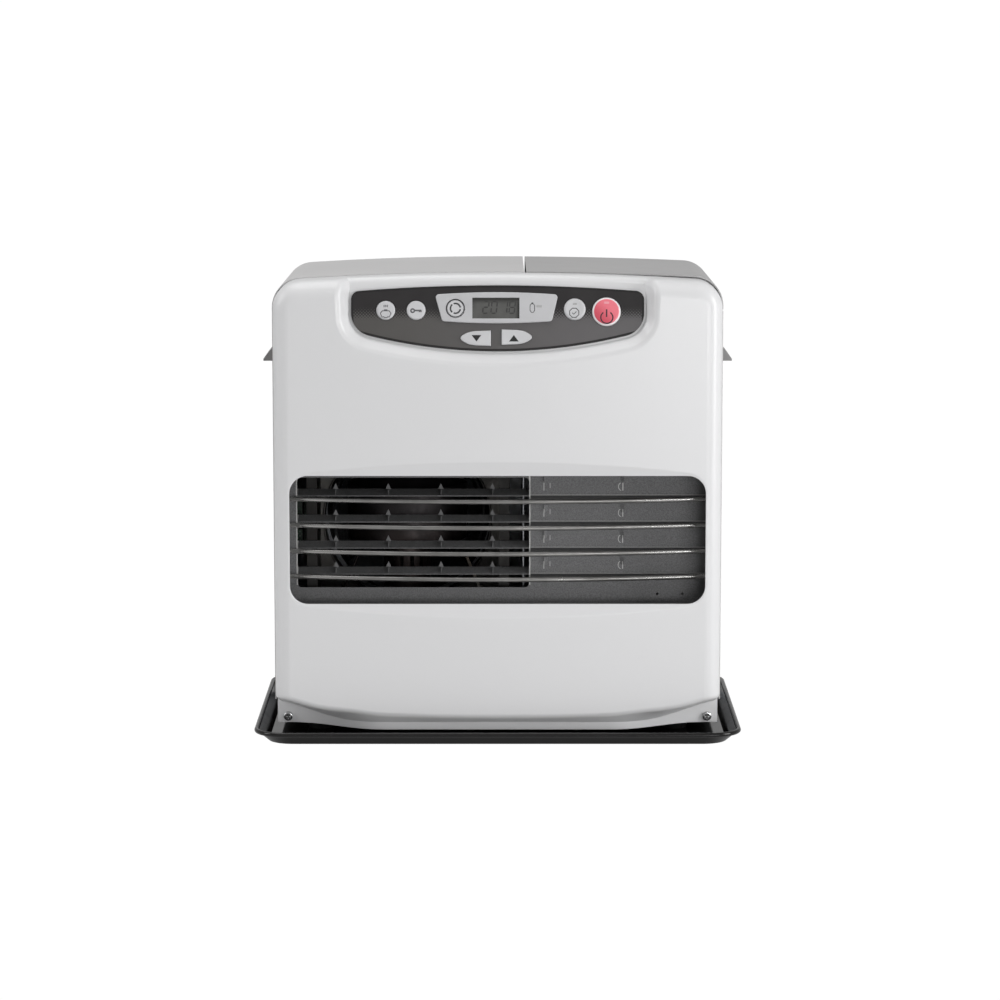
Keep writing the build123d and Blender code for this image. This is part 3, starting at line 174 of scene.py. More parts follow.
def rgb(red, green, blue):
    """Linear colour of a screen colour given as 0 to 255."""
    def linear(value):
        value = value / 255
        return value / 12.92 if value <= 0.04045 else ((value + 0.055) / 1.055) ** 2.4
    return (linear(red), linear(green), linear(blue), 1.0)


def new_finish(name):
    """An empty material and the wire that its nodes start from."""
    finish = bpy.data.materials.new(name)
    finish.use_nodes = True
    finish.node_tree.nodes.clear()
    return finish, Wire(finish.node_tree)


def settled(name, form):
    """Turn a worked form into an object in the scene."""
    mesh = bpy.data.meshes.new(name)
    form.to_mesh(mesh)
    form.free()
    piece = bpy.data.objects.new(name, mesh)
    bpy.context.scene.collection.objects.link(piece)
    return piece


floor_half = 6.0
floor_white = (0.82, 0.82, 0.82, 1.0)
pure_white = (1.0, 1.0, 1.0, 1.0)


def paper():
    """White floor: pure white to the camera, partly so in reflections, matt white to everything else."""
    finish, wire = new_finish("white_floor")
    rays = wire.split("LightPath")
    seen = wire.maths("MAXIMUM", rays[0], rays[3] * 0.25)
    matt = wire.node("BsdfDiffuse", None, {"Color": floor_white})
    glow = wire.node("Emission", None, {"Color": pure_white, "Strength": 1.02})
    both = wire.node("MixShader", None, {0: seen, 1: matt, 2: glow})
    wire.node("OutputMaterial", None, {"Surface": both})
    return finish


form = bmesh.new()
bmesh.ops.create_grid(form, x_segments=1, y_segments=1, size=floor_half)
floor = settled("floor", form)
floor.data.materials.append(paper())

surround_light = 0.26
surround_seen = 0.76
surround_reflected = 0.25

world = bpy.data.worlds.new("surround")
bpy.context.scene.world = world
world.use_nodes = True
world.node_tree.nodes.clear()
sky = Wire(world.node_tree)
ray = sky.split("LightPath")
strength = surround_light + surround_seen * ray[0] + surround_reflected * ray[3]
white_air = sky.node("Background", None, {"Color": pure_white, "Strength": strength})
sky.node("OutputWorld", None, {"Surface": white_air})


# Drip tray and feet
# A tray pressed from sheet steel with sloping walls and a rolled rim, in glossy brown-black enamel that
# gathers fine dust. The heater stands in it on four small black feet.

def skin(wire, finish, colour, rough, normal, more=None):
    """Close a material with the surface shader."""
    sockets = {"Base Color": colour, "Roughness": rough, "Normal": normal, **(more or {})}
    wire.node("OutputMaterial", None, {"Surface": wire.node("BsdfPrincipled", None, sockets)})
    return finish


def tint(colour, share):
    """A colour made darker or lighter by a share."""
    return tuple(min(1.0, part * (1 + share)) for part in colour[:3]) + (1.0,)


def dress(names, finish):
    """Give a finish to pieces that keep the frame's own mesh."""
    for name in names.split():
        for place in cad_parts[name].material_slots:
            place.material = finish


def enamel():
    """Deep gloss that reads nearly black, under patches of thin dust, with slight waves in the glaze."""
    finish, wire = new_finish("tray_enamel")
    glaze = rgb(10, 8, 8)
    dusty = rgb(34, 31, 30)
    dust = wire.noise(60.0, 5.0).steps(0.5, 0.8) * 0.35
    colour = wire.mix(glaze, dusty, dust)
    gloss = wire.noise(14.0, 3.0).steps(0.3, 0.7, 0.08, 0.15) + dust * 0.4
    waves = wire.noise(55.0, 1.0)
    return skin(wire, finish, colour, gloss, wire.relief(waves, 0.00012), {"IOR": 1.42})


def rubber():
    """Moulded black rubber with a dusty bloom."""
    finish, wire = new_finish("foot_rubber")
    clean = rgb(26, 26, 27)
    bloomed = rgb(52, 51, 50)
    bloom = wire.noise(90.0, 4.0).steps(0.35, 0.75)
    gloss = bloom.steps(0.0, 1.0, 0.65, 0.85)
    grain = wire.noise(1500.0)
    return skin(wire, finish, wire.mix(clean, bloomed, bloom), gloss, wire.relief(grain, 0.00005))


dress("drip_tray", enamel())
dress("feet", rubber())


# Base pan, brackets and switch
# The floor of the heater, an open pan of galvanised sheet. The burner's stand, the duct's feet and the
# lid's brackets are folded from the same sheet. The tilt switch, a black moulding, sits on the pan.

def galvanised(name, colour, spread=0.07, crystals=180.0, rough=0.4):
    """Zinc-coated steel: crystals that each catch the light differently, under fine rolling lines."""
    finish, wire = new_finish(name)
    bend = wire.noise(35.0, 3.0)
    sockets = {"Vector": wire.place(), "Scale": crystals, "Randomness": 1.0}
    cells = wire.node("TexVoronoi", None, sockets, give=1)
    tone = cells.steps(0.25, 0.75) * 0.7 + bend * 0.3
    shade = wire.mix(tint(colour, -spread), tint(colour, spread), tone)
    gloss = tone.steps(0.1, 0.9, rough * 1.1, rough * 0.93)
    lines = wire.noise(1.0, 2.0, wire.stretched(40.0, 1800.0, 1800.0))
    return skin(wire, finish, shade, gloss, wire.relief(lines, 0.00003), {"Metallic": 0.9})


def moulded(name, colour, rough):
    """Injection-moulded plastic: even colour with a slow drift, a fine grain and handled gloss."""
    finish, wire = new_finish(name)
    drift = wire.noise(22.0, 3.0).steps(0.3, 0.7)
    shade = wire.mix(tint(colour, -0.06), tint(colour, 0.06), drift)
    gloss = wire.noise(70.0, 3.0).steps(0.3, 0.7, rough * 0.85, rough * 1.15)
    grain = wire.noise(2200.0, 1.0)
    return skin(wire, finish, shade, gloss, wire.relief(grain, 0.00004))


zinc = galvanised("zinc", rgb(150, 152, 155))
dress("base_pan duct_feet burner_stand lid_brackets", zinc)
dress("tilt_switch", moulded("black_moulding", rgb(30, 30, 32), 0.45))


# Burner blower
# A scroll of galvanised sheet with a bladed wheel and a small round motor, whose iron plates are under
# dark varnish. It pushes air into the pot.

blower_plate = 0.0007


def laminated(name, colour, plate):
    """Motor iron: stacked plates that show as fine lines, under thin dark varnish."""
    finish, wire = new_finish(name)
    x, y, z = wire.axes()
    lines = wire.maths("SINE", y * (math.tau / plate)).steps(-0.6, 0.6)
    patches = wire.noise(80.0, 4.0).steps(0.35, 0.7)
    shade = wire.mix(tint(colour, -0.35), tint(colour, 0.2), lines * 0.6 + patches * 0.4)
    gloss = patches.steps(0.0, 1.0, 0.35, 0.55)
    return skin(wire, finish, shade, gloss, wire.relief(lines, 0.0001), {"Metallic": 0.7})


dress("burner_blower", galvanised("blower_zinc", rgb(146, 148, 150), crystals=170.0))
dress("blower_motor", laminated("blower_iron", rgb(60, 60, 64), blower_plate))
dress("blower_impeller", galvanised("wheel_zinc", rgb(135, 137, 140), crystals=260.0, rough=0.32))


# Burner pot, igniter and flame sensor
# A drawn steel pot, blued and sooted by the flame. Two sleeved rods rise on discs through the duct's floor
# beside it: the igniter in white ceramic, and the flame sensor, heat-tinted and painted dark as shade.

pot_heat = (0.046, 0.092)
igniter_heat = (0.11, 0.157)
sensor_heat = (0.081, 0.16)


def scorched(name, heights, cool, warm, hot):
    """Bare steel coloured by heat, from plain at one height to straw, blue and soot at another."""
    finish, wire = new_finish(name)
    x, y, z = wire.axes()
    wander = wire.noise(18.0, 4.0).steps(0.2, 0.8, -0.25, 0.25)
    heat = z.steps(*heights) + wander
    shade = wire.mix(wire.mix(cool, warm, heat.steps(0.15, 0.55)), hot, heat.steps(0.5, 0.95))
    gloss = wire.noise(70.0, 3.0).steps(0.3, 0.7, 0.34, 0.55)
    lines = wire.noise(1.0, 2.0, wire.stretched(60.0, 60.0, 2400.0))
    return skin(wire, finish, shade, gloss, wire.relief(lines, 0.00004), {"Metallic": 0.75})


def glazed():
    """White ceramic, smooth glaze over a slightly uneven body, browned towards the hot tip."""
    finish, wire = new_finish("glazed_ceramic")
    x, y, z = wire.axes()
    brown = z.steps(*igniter_heat) * wire.noise(60.0, 3.0).steps(0.2, 0.8, 0.5, 1.0)
    shade = wire.mix(rgb(226, 223, 214), rgb(120, 104, 88), brown)
    gloss = brown.steps(0.0, 1.0, 0.18, 0.5)
    return skin(wire, finish, shade, gloss, wire.relief(wire.noise(240.0), 0.00006))


dress("burner_pot",
      scorched("pot_steel", pot_heat, rgb(120, 118, 116), rgb(92, 78, 62), rgb(40, 38, 42)))
dress("ignition_electrode", glazed())
# The flame sensor is painted dark as shade, over its heat tint.
dress("flame_sensor",
      scorched("sensor_steel", sensor_heat, rgb(70, 66, 62), rgb(52, 46, 42), rgb(40, 36, 34)))


# Combustion chamber
# A domed drum of stainless sheet on a slotted neck over the pot. It stands in the air duct, and years of
# heat have turned it brown and blue; its colour is darkened further as painted shade from the duct around
# it.

drum_heat = (0.1, 0.24)
dress("combustion_chamber",
      scorched("drum_steel", drum_heat, rgb(56, 49, 48), rgb(50, 43, 42), rgb(44, 41, 42)))


# Fuel sump, strainer, pump and pipe
# A closed box of coated sheet with a collar that the tank stands on, and a brass strainer cup in it. A
# solenoid pump with a brass body sends the fuel through a copper pipe to the pot.

def soft_metal(name, colour, stain, rough):
    """Bare copper, brass or steel with a dulled skin and finger stains."""
    finish, wire = new_finish(name)
    dull = wire.noise(45.0, 5.0).steps(0.4, 0.75)
    shade = wire.mix(colour, stain, dull)
    gloss = dull.steps(0.0, 1.0, rough, rough * 2.0)
    draw = wire.noise(1.0, 2.0, wire.stretched(700.0, 700.0, 700.0))
    return skin(wire, finish, shade, gloss, wire.relief(draw, 0.00003), {"Metallic": 1.0})


dress("fuel_sump", galvanised("sump_zinc", rgb(158, 159, 160), crystals=110.0, rough=0.34))
dress("sump_strainer fuel_pump", soft_metal("brass", rgb(198, 172, 112), rgb(132, 108, 70), 0.24))
dress("fuel_pipe", soft_metal("copper", rgb(202, 128, 92), rgb(120, 72, 56), 0.22))


# Cabinet, right side and partition
# The wrap is one sheet bent over the left side and the left of the top, and the right side is its own
# panel below the lid. Both are sprayed silver grey. Between burner and tank stands a galvanised wall.

def sprayed(name, colour, rough, drift=0.03, sway=0.06, depth=0.00004, rim=None, more=None):
    """Stoved paint on sheet: slow drift of tone, orange peel, uneven gloss, and a rim of its own colour."""
    finish, wire = new_finish(name)
    tone = wire.noise(6.0, 3.0).steps(0.3, 0.7)
    shade = wire.mix(tint(colour, -drift), tint(colour, drift), tone)
    if rim:
        rim_colour, mask = rim
        shade = wire.mix(shade, rim_colour, mask(wire))
    gloss = wire.noise(32.0, 3.0).steps(0.1, 0.9, rough * (1 - sway), rough * (1 + sway))
    peel = wire.noise(620.0, 2.0) * 0.8 + wire.noise(90.0, 1.0) * 0.6
    return skin(wire, finish, shade, gloss, wire.relief(peel, depth), more)


dress("cabinet_shell", sprayed("cover_grey", rgb(206, 205, 205), 0.4, more={"Metallic": 0.1}))
dress("right_side_panel", sprayed("side_grey", rgb(200, 199, 199), 0.4, more={"Metallic": 0.1}))
dress("tank_partition", zinc)


# Side handles
# Grey moulded grips let into the sides, each with a sloping hood that stands out beyond the sheet.

dress("left_handle right_handle", moulded("grip_plastic", rgb(132, 131, 131), 0.42))


# Back, filter and fan
# A galvanised back, held by plated screws, with a pressed black guard that carries the fan's motor. The
# blades turn in a shroud's orifice. A framed black net slides in rails over the guard to keep lint out.

fan_plate = 0.0009
thread_turns = 4200.0


def netting():
    """Woven plastic net: two sets of threads over dark gaps, with lint caught here and there."""
    finish, wire = new_finish("filter_net")
    x, y, z = wire.axes()
    upright = wire.maths("SINE", x * thread_turns)
    level = wire.maths("SINE", z * thread_turns)
    raised = wire.maths("MAXIMUM", upright, level).steps(0.1, 0.95)
    lint = wire.noise(26.0, 5.0).steps(0.52, 0.78) * 0.5
    shade = wire.mix(wire.mix(rgb(14, 14, 15), rgb(58, 58, 60), raised), rgb(126, 122, 116), lint)
    return skin(wire, finish, shade, raised.steps(0.0, 1.0, 0.8, 0.55), wire.relief(raised, 0.0004))


dress("rear_panel", galvanised("back_zinc", rgb(160, 162, 165), spread=0.05))
dress("rear_screws panel_screws", soft_metal("screw_steel", rgb(212, 212, 213), rgb(150, 150, 152), 0.14))
dress("fan_guard", sprayed("guard_paint", rgb(44, 44, 46), 0.4))
dress("air_filter", netting())
dress("filter_rails cord_gland room_sensor", moulded("rail_plastic", rgb(38, 38, 40), 0.5))
dress("fan_shroud", galvanised("shroud_zinc", rgb(112, 110, 107), crystals=90.0, rough=0.42))
dress("fan_motor", laminated("fan_iron", rgb(66, 66, 70), fan_plate))
dress("fan_blade", galvanised("blade_metal", rgb(96, 97, 100), crystals=420.0, rough=0.42))


# Air duct
# Folded sheet round the burner drum that leads the fan's air out at the front. Inside it is heat-tinted,
# and painted nearly black as the shade inside the duct.

duct_heat = (0.09, 0.27)
dress("warm_air_duct",
      scorched("duct_steel", duct_heat, rgb(46, 45, 44), rgb(42, 40, 39), rgb(38, 37, 36)))


# Outlet plate
# A grey-painted sheet with four louvres, on the left open to the duct and on the right blind steps with
# two lanced marks in each. Gussets and pointed tabs stiffen the slats. Sheared edges are bare and bright.

lips = (0.154, 0.179, 0.204, 0.229)
step_pitch = lips[1] - lips[0]
steps_from = 0.031
steps_low = 0.14925
steps_high = 0.2605
step_shadow = 0.0205
shaded_end = 0.1915
bay_left = -0.1902
bay_right = 0.0303
bay_low = 0.143
bay_high = 0.2595
lance_low = 0.0046
lance_high = 0.0118
crescent_at = 0.1186
crescent_middle = 0.0083
crescent_radius = 0.0042
slit_at = 0.0438
nick_at = 0.0497


def highest(first, *others):
    """The greatest of several wires."""
    for other in others:
        first = first.maths("MAXIMUM", first, other)
    return first


def distance(across, up):
    """How far off a point is, from how far it is across and how far up."""
    return across.maths("SQRT", across * across + up * up)


def outlet_paint():
    """Coarse grey paint, painted shade under the steps and at the right end, metal at the sheared edges,
    painted highlights on lips and lanced marks.
    """
    finish, wire = new_finish("outlet_paint")
    x, y, z = wire.axes()
    rise = wire.maths("FLOORED_MODULO", z - lips[0], step_pitch)
    stepped = z.past(steps_low, 0.00025) * z.before(steps_high, 0.0005) * x.past(steps_from, 0.0005)
    # Painted shadow: a dark band under each blind step's lip, where the lip above shades the sheet.
    under = rise.past(step_shadow, 0.0007) * stepped
    # Painted shade: darker towards the plate's right end, where the side of the window shades it.
    end = x.past(shaded_end, 0.0055)
    grain = wire.noise(900.0, 3.0).steps(0.3, 0.7)
    shade = wire.mix(rgb(97, 97, 98), rgb(120, 120, 121), grain)
    # The painted shadow under the steps and the painted shade at the end share one dark grey.
    shade = wire.mix(shade, rgb(66, 66, 66), highest(under, end * 0.9))
    sheared = highest(x.band(bay_left, 0.00075, 0.00015), x.band(bay_right, 0.00075, 0.00015))
    cut = sheared * z.past(bay_low, 0.0005) * z.before(bay_high, 0.0005)
    # Painted highlights where the edges of the lanced marks catch the light: a bar, a crescent, a slit and
    # a nick.
    tall = rise.past(lance_low, 0.0002) * rise.before(lance_high, 0.0002) * stepped
    bar = x.band(crescent_at, 0.0004, 0.0001) * tall
    far = distance(x - crescent_at, rise - crescent_middle)
    bow = far.band(crescent_radius, 0.0003, 0.0001) * x.before(crescent_at - 0.0006, 0.0002) * tall
    slit = x.band(slit_at, 0.00065, 0.00015) * tall * 0.5
    nick = x.band(nick_at, 0.00045, 0.00015) * tall * rise.past(0.007, 0.0002) * 0.5
    # Painted highlight along each step's lip.
    lip = rise.before(0.0008, 0.0002) * stepped
    # The sheared edges of the bay show the metal; the lanced marks and lips add painted highlights in the
    # same pale colour.
    bare_edges_and_highlights = highest(cut, bar, bow, slit, nick, lip * 0.35)
    shade = wire.mix(shade, rgb(205, 205, 203), bare_edges_and_highlights)
    return skin(wire, finish, shade, bare_edges_and_highlights.steps(0.0, 1.0, 0.5, 0.3), wire.relief(grain, 0.00012))


dress("louvre_plate", outlet_paint())

tab_places = (-0.154, -0.104, -0.054, -0.005)
tab_half = 0.0028
tab_foot = 0.0038
tab_tip = 0.0098
tab_face = -0.0708
tab_sheet = 0.0008


def thicken(form, along):
    """Give a form's flat faces a thickness along a vector."""
    grown = bmesh.ops.extrude_face_region(form, geom=form.faces[:])
    moved = [v for v in grown["geom"] if isinstance(v, bmesh.types.BMVert)]
    bmesh.ops.translate(form, vec=along, verts=moved)
    bmesh.ops.recalc_face_normals(form, faces=form.faces)


form = bmesh.new()
for lip in lips:
    for middle in tab_places:
        corners = ((-tab_half, tab_foot), (tab_half, tab_foot), (0.0, tab_tip))
        form.faces.new([form.verts.new((middle + across, tab_face, lip + up)) for across, up in corners])
thicken(form, (0.0, tab_sheet, 0.0))
tabs = settled("slat_tabs", form)
tabs.data.materials.append(sprayed("tab_paint", rgb(120, 120, 121), 0.5, drift=0.08))
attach(tabs, "heater")


# Guard rods
# Four steel rods, plated and polished, that bow forwards across the outlet and keep hands off. Their ends
# sit in the plate's side flanges.

darker_middle_near = 0.12
darker_middle_far = 0.2
painted_highlight_near = 0.178
painted_highlight_far = 0.194


def wire_steel():
    """Polished rod with draw lines along it, darker in patches over the middle, and ends lightened as
    painted highlight.
    """
    finish, wire = new_finish("rod_steel")
    x, y, z = wire.axes()
    stains = wire.noise(30.0, 4.0).steps(0.25, 0.75, 0.6, 1.0)
    darker_middle = x.size().steps(darker_middle_near, darker_middle_far, 1.0, 0.0) * stains
    shade = wire.mix(rgb(178, 177, 175), rgb(116, 115, 113), darker_middle)
    # Painted highlight: each rod's ends are lightened towards the window's sides.
    shade = wire.mix(shade, rgb(220, 219, 216), x.size().steps(painted_highlight_near, painted_highlight_far))
    gloss = darker_middle.steps(0.0, 1.0, 0.22, 0.3)
    lines = wire.noise(1.0, 2.0, wire.stretched(30.0, 2600.0, 2600.0))
    return skin(wire, finish, shade, gloss, wire.relief(lines, 0.00004), {"Metallic": 0.9})


dress("guard_rods", wire_steel())


# Circuit boards
# The mains board on the left side's inner face and the control board behind the fascia: green glass-fibre
# laminate with tracks and tinned pads.

pad_turns = 1550.0


def laminate():
    """Green lacquer over copper tracks, with tinned pads in rows."""
    finish, wire = new_finish("board_green")
    x, y, z = wire.axes()
    grid = wire.maths("SINE", (x + y) * pad_turns) * wire.maths("SINE", z * pad_turns)
    pads = grid.steps(0.72, 0.82) * wire.noise(42.0, 1.0).steps(0.5, 0.56)
    tracks = wire.noise(1.0, 0.0, wire.stretched(90.0, 90.0, 620.0)).steps(0.5, 0.53)
    shade = wire.mix(wire.mix(rgb(16, 44, 27), rgb(27, 64, 40), tracks), rgb(150, 152, 148), pads)
    gloss = pads.steps(0.0, 1.0, 0.3, 0.22)
    return skin(wire, finish, shade, gloss, wire.relief(tracks * 0.6 + pads, 0.00015))


dress("power_board control_board", laminate())


# Front panel
# One pressing of sheet steel, sprayed satin white, with the dish for the controls, the grille's window
# and a curved underside whose lip runs out to a screw at each lower corner. The window's return is dark.

window_half = 0.1966
window_low = 0.1296
window_high = 0.2542
return_front = -0.1227


def window_mask(wire):
    """The return that leads in from the grille's window."""
    x, y, z = wire.axes()
    level = z.past(window_low, 0.0004) * z.before(window_high, 0.0004)
    return y.past(return_front, 0.0005) * (x.size().before(window_half, 0.0004) * level)


dress("front_panel", sprayed(
    "panel_white", rgb(228, 228, 229), 0.28, drift=0.0015, sway=0.02, depth=0.000002,
    rim=(rgb(46, 45, 46), window_mask),
))


# Control fascia
# A boat-shaped moulding in the panel's dish. It is printed nearly black above, fading through a screen of
# dots to warm grey below, with a black line round its edge.

tilt = math.radians(11.5)
fascia_y = -0.1131
fascia_z = 0.4
fascia_frame = Matrix((
    (1.0, 0.0, 0.0, 0.0),
    (0.0, math.sin(tilt), -math.cos(tilt), fascia_y),
    (0.0, math.cos(tilt), math.sin(tilt), fascia_z),
    (0.0, 0.0, 0.0, 1.0),
))

dots_per_mm = 0.34
fade_top = 11.0
fade_rate = 0.066
under_centre = 465.7
under_radius = 495.2
over_centre = -1579.0
over_radius = 1607.0
line_half_width = 134.3


def up_fascia(y, z):
    """Millimetres up the slope of the fascia, at a depth and height in metres."""
    return (z - fascia_z) * (1000.0 * math.cos(tilt)) + (y - fascia_y) * (1000.0 * math.sin(tilt))


def fascia_print():
    """The print, worked out from millimetres across and up the fascia."""
    finish, wire = new_finish("fascia_print")
    x, y, z = wire.axes()
    u = x * 1000.0
    v = up_fascia(y, z)
    across = wire.maths("FRACT", (u + v) * dots_per_mm + 200.0) - 0.5
    along = wire.maths("FRACT", (u - v) * dots_per_mm + 200.0) - 0.5
    spread = distance(across, along) * 1.42
    fade = wire.maths("MINIMUM", wire.maths("MAXIMUM", (fade_top - v) * fade_rate, 0.0), 1.1)
    dots = (fade - spread).past(0.0, 0.05)
    lower = wire.mix(rgb(82, 80, 78), rgb(98, 96, 97), u.steps(-120.0, 120.0))
    shade = wire.mix(rgb(32, 29, 30), lower, dots)
    below = distance(u, v - under_centre) - under_radius
    above = distance(u, v - over_centre) - over_radius
    edge = highest(below, above, u.size() - line_half_width)
    shade = wire.mix(shade, rgb(18, 15, 16), edge.past(0.0, 0.15))
    gloss = wire.noise(50.0, 3.0).steps(0.3, 0.7, 0.3, 0.38)
    return skin(wire, finish, shade, gloss, wire.relief(wire.noise(1800.0, 1.0), 0.00003))


dress("control_fascia", fascia_print())


# Keys, bezel and display
# Light grey moulded keys that stand a little out of the fascia, one of them red with a pale rim, and a
# bezel round a liquid-crystal display. The marks are plain printed signs, and small lamps show in some.

power_at = (101.4, 5.3)
power_rim = 11.75
display_shade_low = 0.4125
display_shade_high = 0.4178
display_shade_left = 0.0155
display_shade_right = 0.0205


def power_key():
    """Rose-red key with painted shade, darker towards its lower left, and a pale band round its edge."""
    finish, wire = new_finish("power_key")
    x, y, z = wire.axes()
    u = x * 1000.0 - power_at[0]
    v = up_fascia(y, z) - power_at[1]
    # Painted shade: the red darkens towards the lower left and lightens towards the upper right.
    rose_with_painted_shade = wire.mix(rgb(210, 82, 99), rgb(243, 128, 141), (u + v).steps(-14.0, 10.0))
    shade = wire.mix(rose_with_painted_shade, rgb(246, 242, 243), distance(u, v).past(power_rim, 0.45))
    return skin(wire, finish, shade, 0.3, wire.relief(wire.noise(1500.0, 1.0), 0.00003))


def crystal_display():
    """Grey-green glass, darker where the bezel shades its top and right."""
    finish, wire = new_finish("crystal_display")
    x, y, z = wire.axes()
    from_top = z.steps(display_shade_low, display_shade_high)
    from_right = x.steps(display_shade_left, display_shade_right)
    lit = wire.noise(60.0, 2.0).steps(0.3, 0.7)
    shade = wire.mix(rgb(84, 84, 82), rgb(94, 94, 92), lit)
    shade = wire.mix(shade, rgb(52, 52, 50), highest(from_top, from_right))
    gloss = lit.steps(0.0, 1.0, 0.12, 0.16)
    return skin(wire, finish, shade, gloss, wire.relief(wire.noise(300.0), 0.00001))


dress("display_bezel", moulded("bezel_grey", rgb(196, 196, 198), 0.35))
dress("save_button lock_button timer_button enter_button down_button up_button",
      moulded("key_grey", rgb(206, 206, 208), 0.38))
dress("power_button", power_key())
dress("display_window", crystal_display())


def drawn(name, lines, at, height, finish, body, thick=0.08):
    """Printed mark: strokes as (width, points) in millimetres about a point of the fascia, at a height."""
    curve = bpy.data.curves.new(name, "CURVE")
    curve.dimensions = "3D"
    curve.bevel_depth = 0.0005
    curve.bevel_resolution = 2
    curve.use_fill_caps = True
    for width, points in lines:
        closed = points[0] == points[-1]
        points = points[:-1] if closed else points
        line = curve.splines.new("POLY")
        line.points.add(len(points) - 1)
        line.use_cyclic_u = closed
        for spot, (u, v) in zip(line.points, points):
            spot.co = (u / 1000, v / 1000, 0.0, 1.0)
            spot.radius = width
    holder = bpy.data.objects.new(name, curve)
    mesh = bpy.data.meshes.new_from_object(holder)
    bpy.data.objects.remove(holder)
    bpy.data.curves.remove(curve)
    lift = Matrix.Translation((at[0] / 1000, at[1] / 1000, height / 1000))
    mesh.transform(fascia_frame @ lift @ Matrix.Diagonal((1.0, 1.0, thick, 1.0)))
    piece = bpy.data.objects.new(name, mesh)
    bpy.context.scene.collection.objects.link(piece)
    mesh.materials.append(finish)
    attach(piece, body)


def arc(at, radius, start, end, count=36):
    """Points round part of a circle, in degrees."""
    turns = [math.radians(start + (end - start) * n / count) for n in range(count + 1)]
    points = [(at[0] + radius * math.cos(t), at[1] + radius * math.sin(t)) for t in turns]
    return points[:-1] + points[:1] if abs(end - start) == 360 else points


soft_ink = moulded("soft_ink", rgb(92, 92, 94), 0.5)
key_ink = moulded("key_ink", rgb(62, 62, 64), 0.5)
black_ink = moulded("black_ink", rgb(22, 22, 23), 0.5)
lamp_lens = moulded("lamp_lens", rgb(174, 174, 174), 0.25)

save_at = (-104.2, 6.7)
lock_at = (-75.9, 6.7)
enter_at = (-39.3, 8.2)
timer_at = (71.9, 7.6)
small_top = 3.52
timer_top = 4.52
tall_top = 5.12
bezel_top = 4.92
glass_top = 3.92
lamp_thick = 0.2

pot = [(-5, -2.9), (-3, -0.6), (3, -0.6), (5, -2.9), (3.4, -6.4), (1.8, -6.2), (1.2, -6.9), (-1.2, -6.9),
       (-1.8, -6.2), (-3.4, -6.4), (-5, -2.9)]
grid = [(0.4, [(u, 2.6), (u, 5.0)]) for u in (-1.6, 0.0, 1.6)]
grid = grid + [(0.4, [(-2.2, v), (2.2, v)]) for v in (3.4, 4.4)]
drawn("save_mark", [(0.9, pot), (1.2, [(-1.6, 0.1), (1.6, 0.1)])] + grid, save_at, small_top,
      soft_ink, "save_key")

key_ring = [(1.4, arc((-3.2, -0.5), 1.6, 0, 360))]
key_stem = [(1.5, [(-1.4, -0.3), (4.9, -0.3)])]
key_teeth = [(1.2, [(u, -0.3), (u, -1.9)]) for u in (3.1, 4.6)]
drawn("lock_mark", key_ring + key_stem + key_teeth, lock_at, small_top,
      soft_ink, "lock_key")

outer_ring = [(0.7, arc((0, 0), 8.0, 0, 360, 64))]
inner_ring = [(1.5, arc((0, 0), 4.6, start, start + 100, 16)) for start in (10, 130, 250)]
drawn("enter_mark", outer_ring + inner_ring, enter_at, tall_top, key_ink, "enter_key")

corner_turns = [math.radians(angle) for angle in range(22, 383, 45)]
octagon = [(4.6 * math.cos(t) - 0.6, 4.6 * math.sin(t) - 3.5) for t in corner_turns]
drawn("timer_mark", [(0.8, octagon), (0.8, [(-2.4, -3.5), (-1.0, -4.9), (1.4, -2.3)])], timer_at, timer_top,
      key_ink, "timer_key")
drawn("timer_lamp", [(1.6, [(-1.8, 4.8), (1.8, 4.8)])], timer_at, timer_top,
      lamp_lens, "timer_key", lamp_thick)

power_ink = moulded("power_ink", rgb(60, 40, 46), 0.45)
power_lens = moulded("power_lens", rgb(248, 166, 176), 0.25)
drawn("power_mark", [(1.2, arc((0.2, -5.6), 5.6, 125, 415)), (1.3, [(0.0, 2.0), (0.0, -5.2)])],
      power_at, tall_top, power_ink, "power_key")
drawn("power_lamp", [(2.2, [(-2.4, 8.2), (2.4, 8.2)])], power_at, tall_top,
      power_lens, "power_key", lamp_thick)

bottle = [(-2.1, -2.6), (-2.1, 2.2), (-1, 3.6), (1, 3.6), (2.1, 2.2), (2.1, -2.6), (0.8, -4.4),
          (-0.8, -4.4), (-2.1, -2.6)]
drawn("fuel_mark", [(0.7, bottle), (1.2, [(-0.8, 4.3), (0.8, 4.3)])], (32.3, 8.8), bezel_top,
      key_ink, "heater")
drawn("fuel_lamp", [(2.0, [(-2.5, 0.0), (2.5, 0.0)])], (38.6, 10.2), bezel_top,
      lamp_lens, "heater", lamp_thick)

arrow_half = 0.0045
arrow_rise = 0.003
arrow_row = -0.0197
arrow_top = 0.0043
ink_depth = 0.00004

for name, middle, way in (("down", -0.0197, -1), ("up", 0.0151, 1)):
    form = bmesh.new()
    corners = ((-arrow_half, -arrow_rise), (arrow_half, -arrow_rise), (0.0, arrow_rise))
    form.faces.new([form.verts.new((across, up * way, 0.0)) for across, up in corners])
    thicken(form, (0.0, 0.0, ink_depth))
    spot = fascia_frame @ Matrix.Translation((middle, arrow_row, arrow_top))
    bmesh.ops.transform(form, verts=form.verts, matrix=spot)
    piece = settled(name + "_mark", form)
    piece.data.materials.append(black_ink)
    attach(piece, name + "_key")


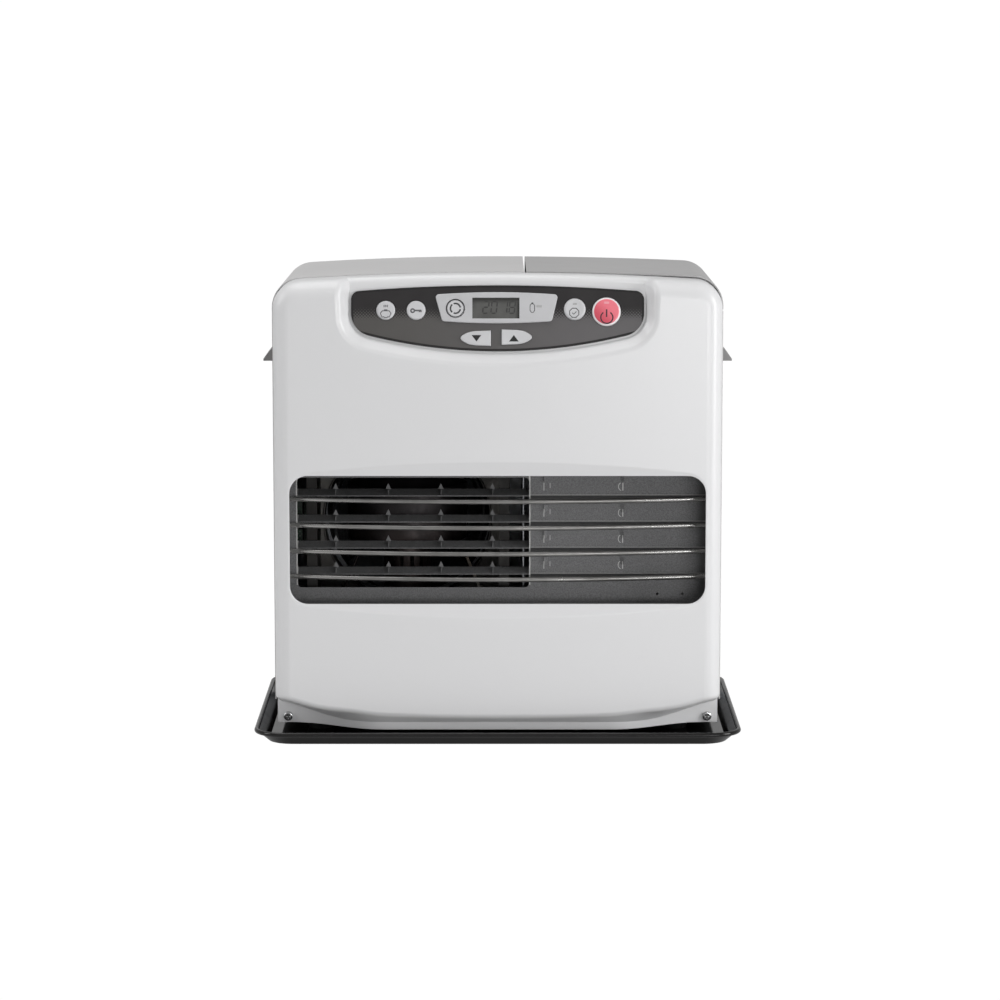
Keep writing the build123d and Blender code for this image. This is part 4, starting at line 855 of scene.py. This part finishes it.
def digit(bars, left, base, high=12.4, wide=6.2, slant=0.1, stroke=1.2, gap=0.14):
    """Seven-segment figure: the lit bars, a to g, as strokes that lean a little."""
    spots = {"a": (0, 1, 1, 1), "b": (1, 1, 1, 0.5), "c": (1, 0.5, 1, 0), "d": (0, 0, 1, 0),
             "e": (0, 0.5, 0, 0), "f": (0, 1, 0, 0.5), "g": (0, 0.5, 1, 0.5)}
    lines = []
    for bar in bars:
        ends = spots[bar]
        points = []
        for own, other in ((ends[:2], ends[2:]), (ends[2:], ends[:2])):
            x = (own[0] + (other[0] - own[0]) * gap) * (wide - stroke) - (wide - stroke) / 2
            y = (own[1] + (other[1] - own[1]) * gap) * (high - stroke) - (high - stroke) / 2
            points.append((left + x + y * slant, base + y))
        lines.append((stroke, points))
    return lines


figure_row = 9.3
figures = []
for bars, left in (("abged", -10.9), ("abcdef", -3.2), ("bc", 6.4), ("abcdefg", 13.6)):
    figures = figures + digit(bars, left, figure_row)
drawn("display_figures", figures, (0.0, 0.0), glass_top,
      moulded("segment_ink", rgb(46, 46, 45), 0.4), "heater")


# Fuel tank
# A removable can of lacquered steel that stands cap down on the sump's collar, with a moulded cap, a clear
# gauge on its front and a wire bail with a grip.

fuel_level = 0.254
scale_pitch = 0.012
scale_edge = 0.06925


def clear_gauge():
    """Frosted clear plastic, amber where the fuel stands behind it, with the scale moulded in."""
    finish, wire = new_finish("clear_gauge")
    x, y, z = wire.axes()
    wet = z.before(fuel_level, 0.002)
    marks = wire.maths("SINE", z * (math.tau / scale_pitch)).past(0.95, 0.02)
    ticks = marks * x.past(scale_edge, 0.00025)
    shade = wire.mix(wire.mix(rgb(206, 208, 206), rgb(214, 196, 160), wet), rgb(70, 70, 70), ticks)
    gloss = wet.steps(0.0, 1.0, 0.3, 0.22)
    return skin(wire, finish, shade, gloss, wire.relief(ticks, 0.0003), {"Coat Weight": 0.3})


dress("fuel_tank", sprayed("tank_lacquer", rgb(186, 187, 184), 0.36, drift=0.05, more={"Metallic": 0.45}))
dress("tank_cap", moulded("cap_plastic", rgb(34, 34, 36), 0.42))
dress("tank_gauge", clear_gauge())
dress("tank_handle", soft_metal("bail_steel", rgb(170, 170, 172), rgb(120, 120, 122), 0.24))


# Lid over the tank
# The right part of the top, crowned sheet with turned-down lips, sprayed a darker grey than the cover. It
# turns on the pins of two brackets at the back.

dress("tank_lid", sprayed("lid_grey", rgb(176, 175, 175), 0.4, more={"Metallic": 0.1}))
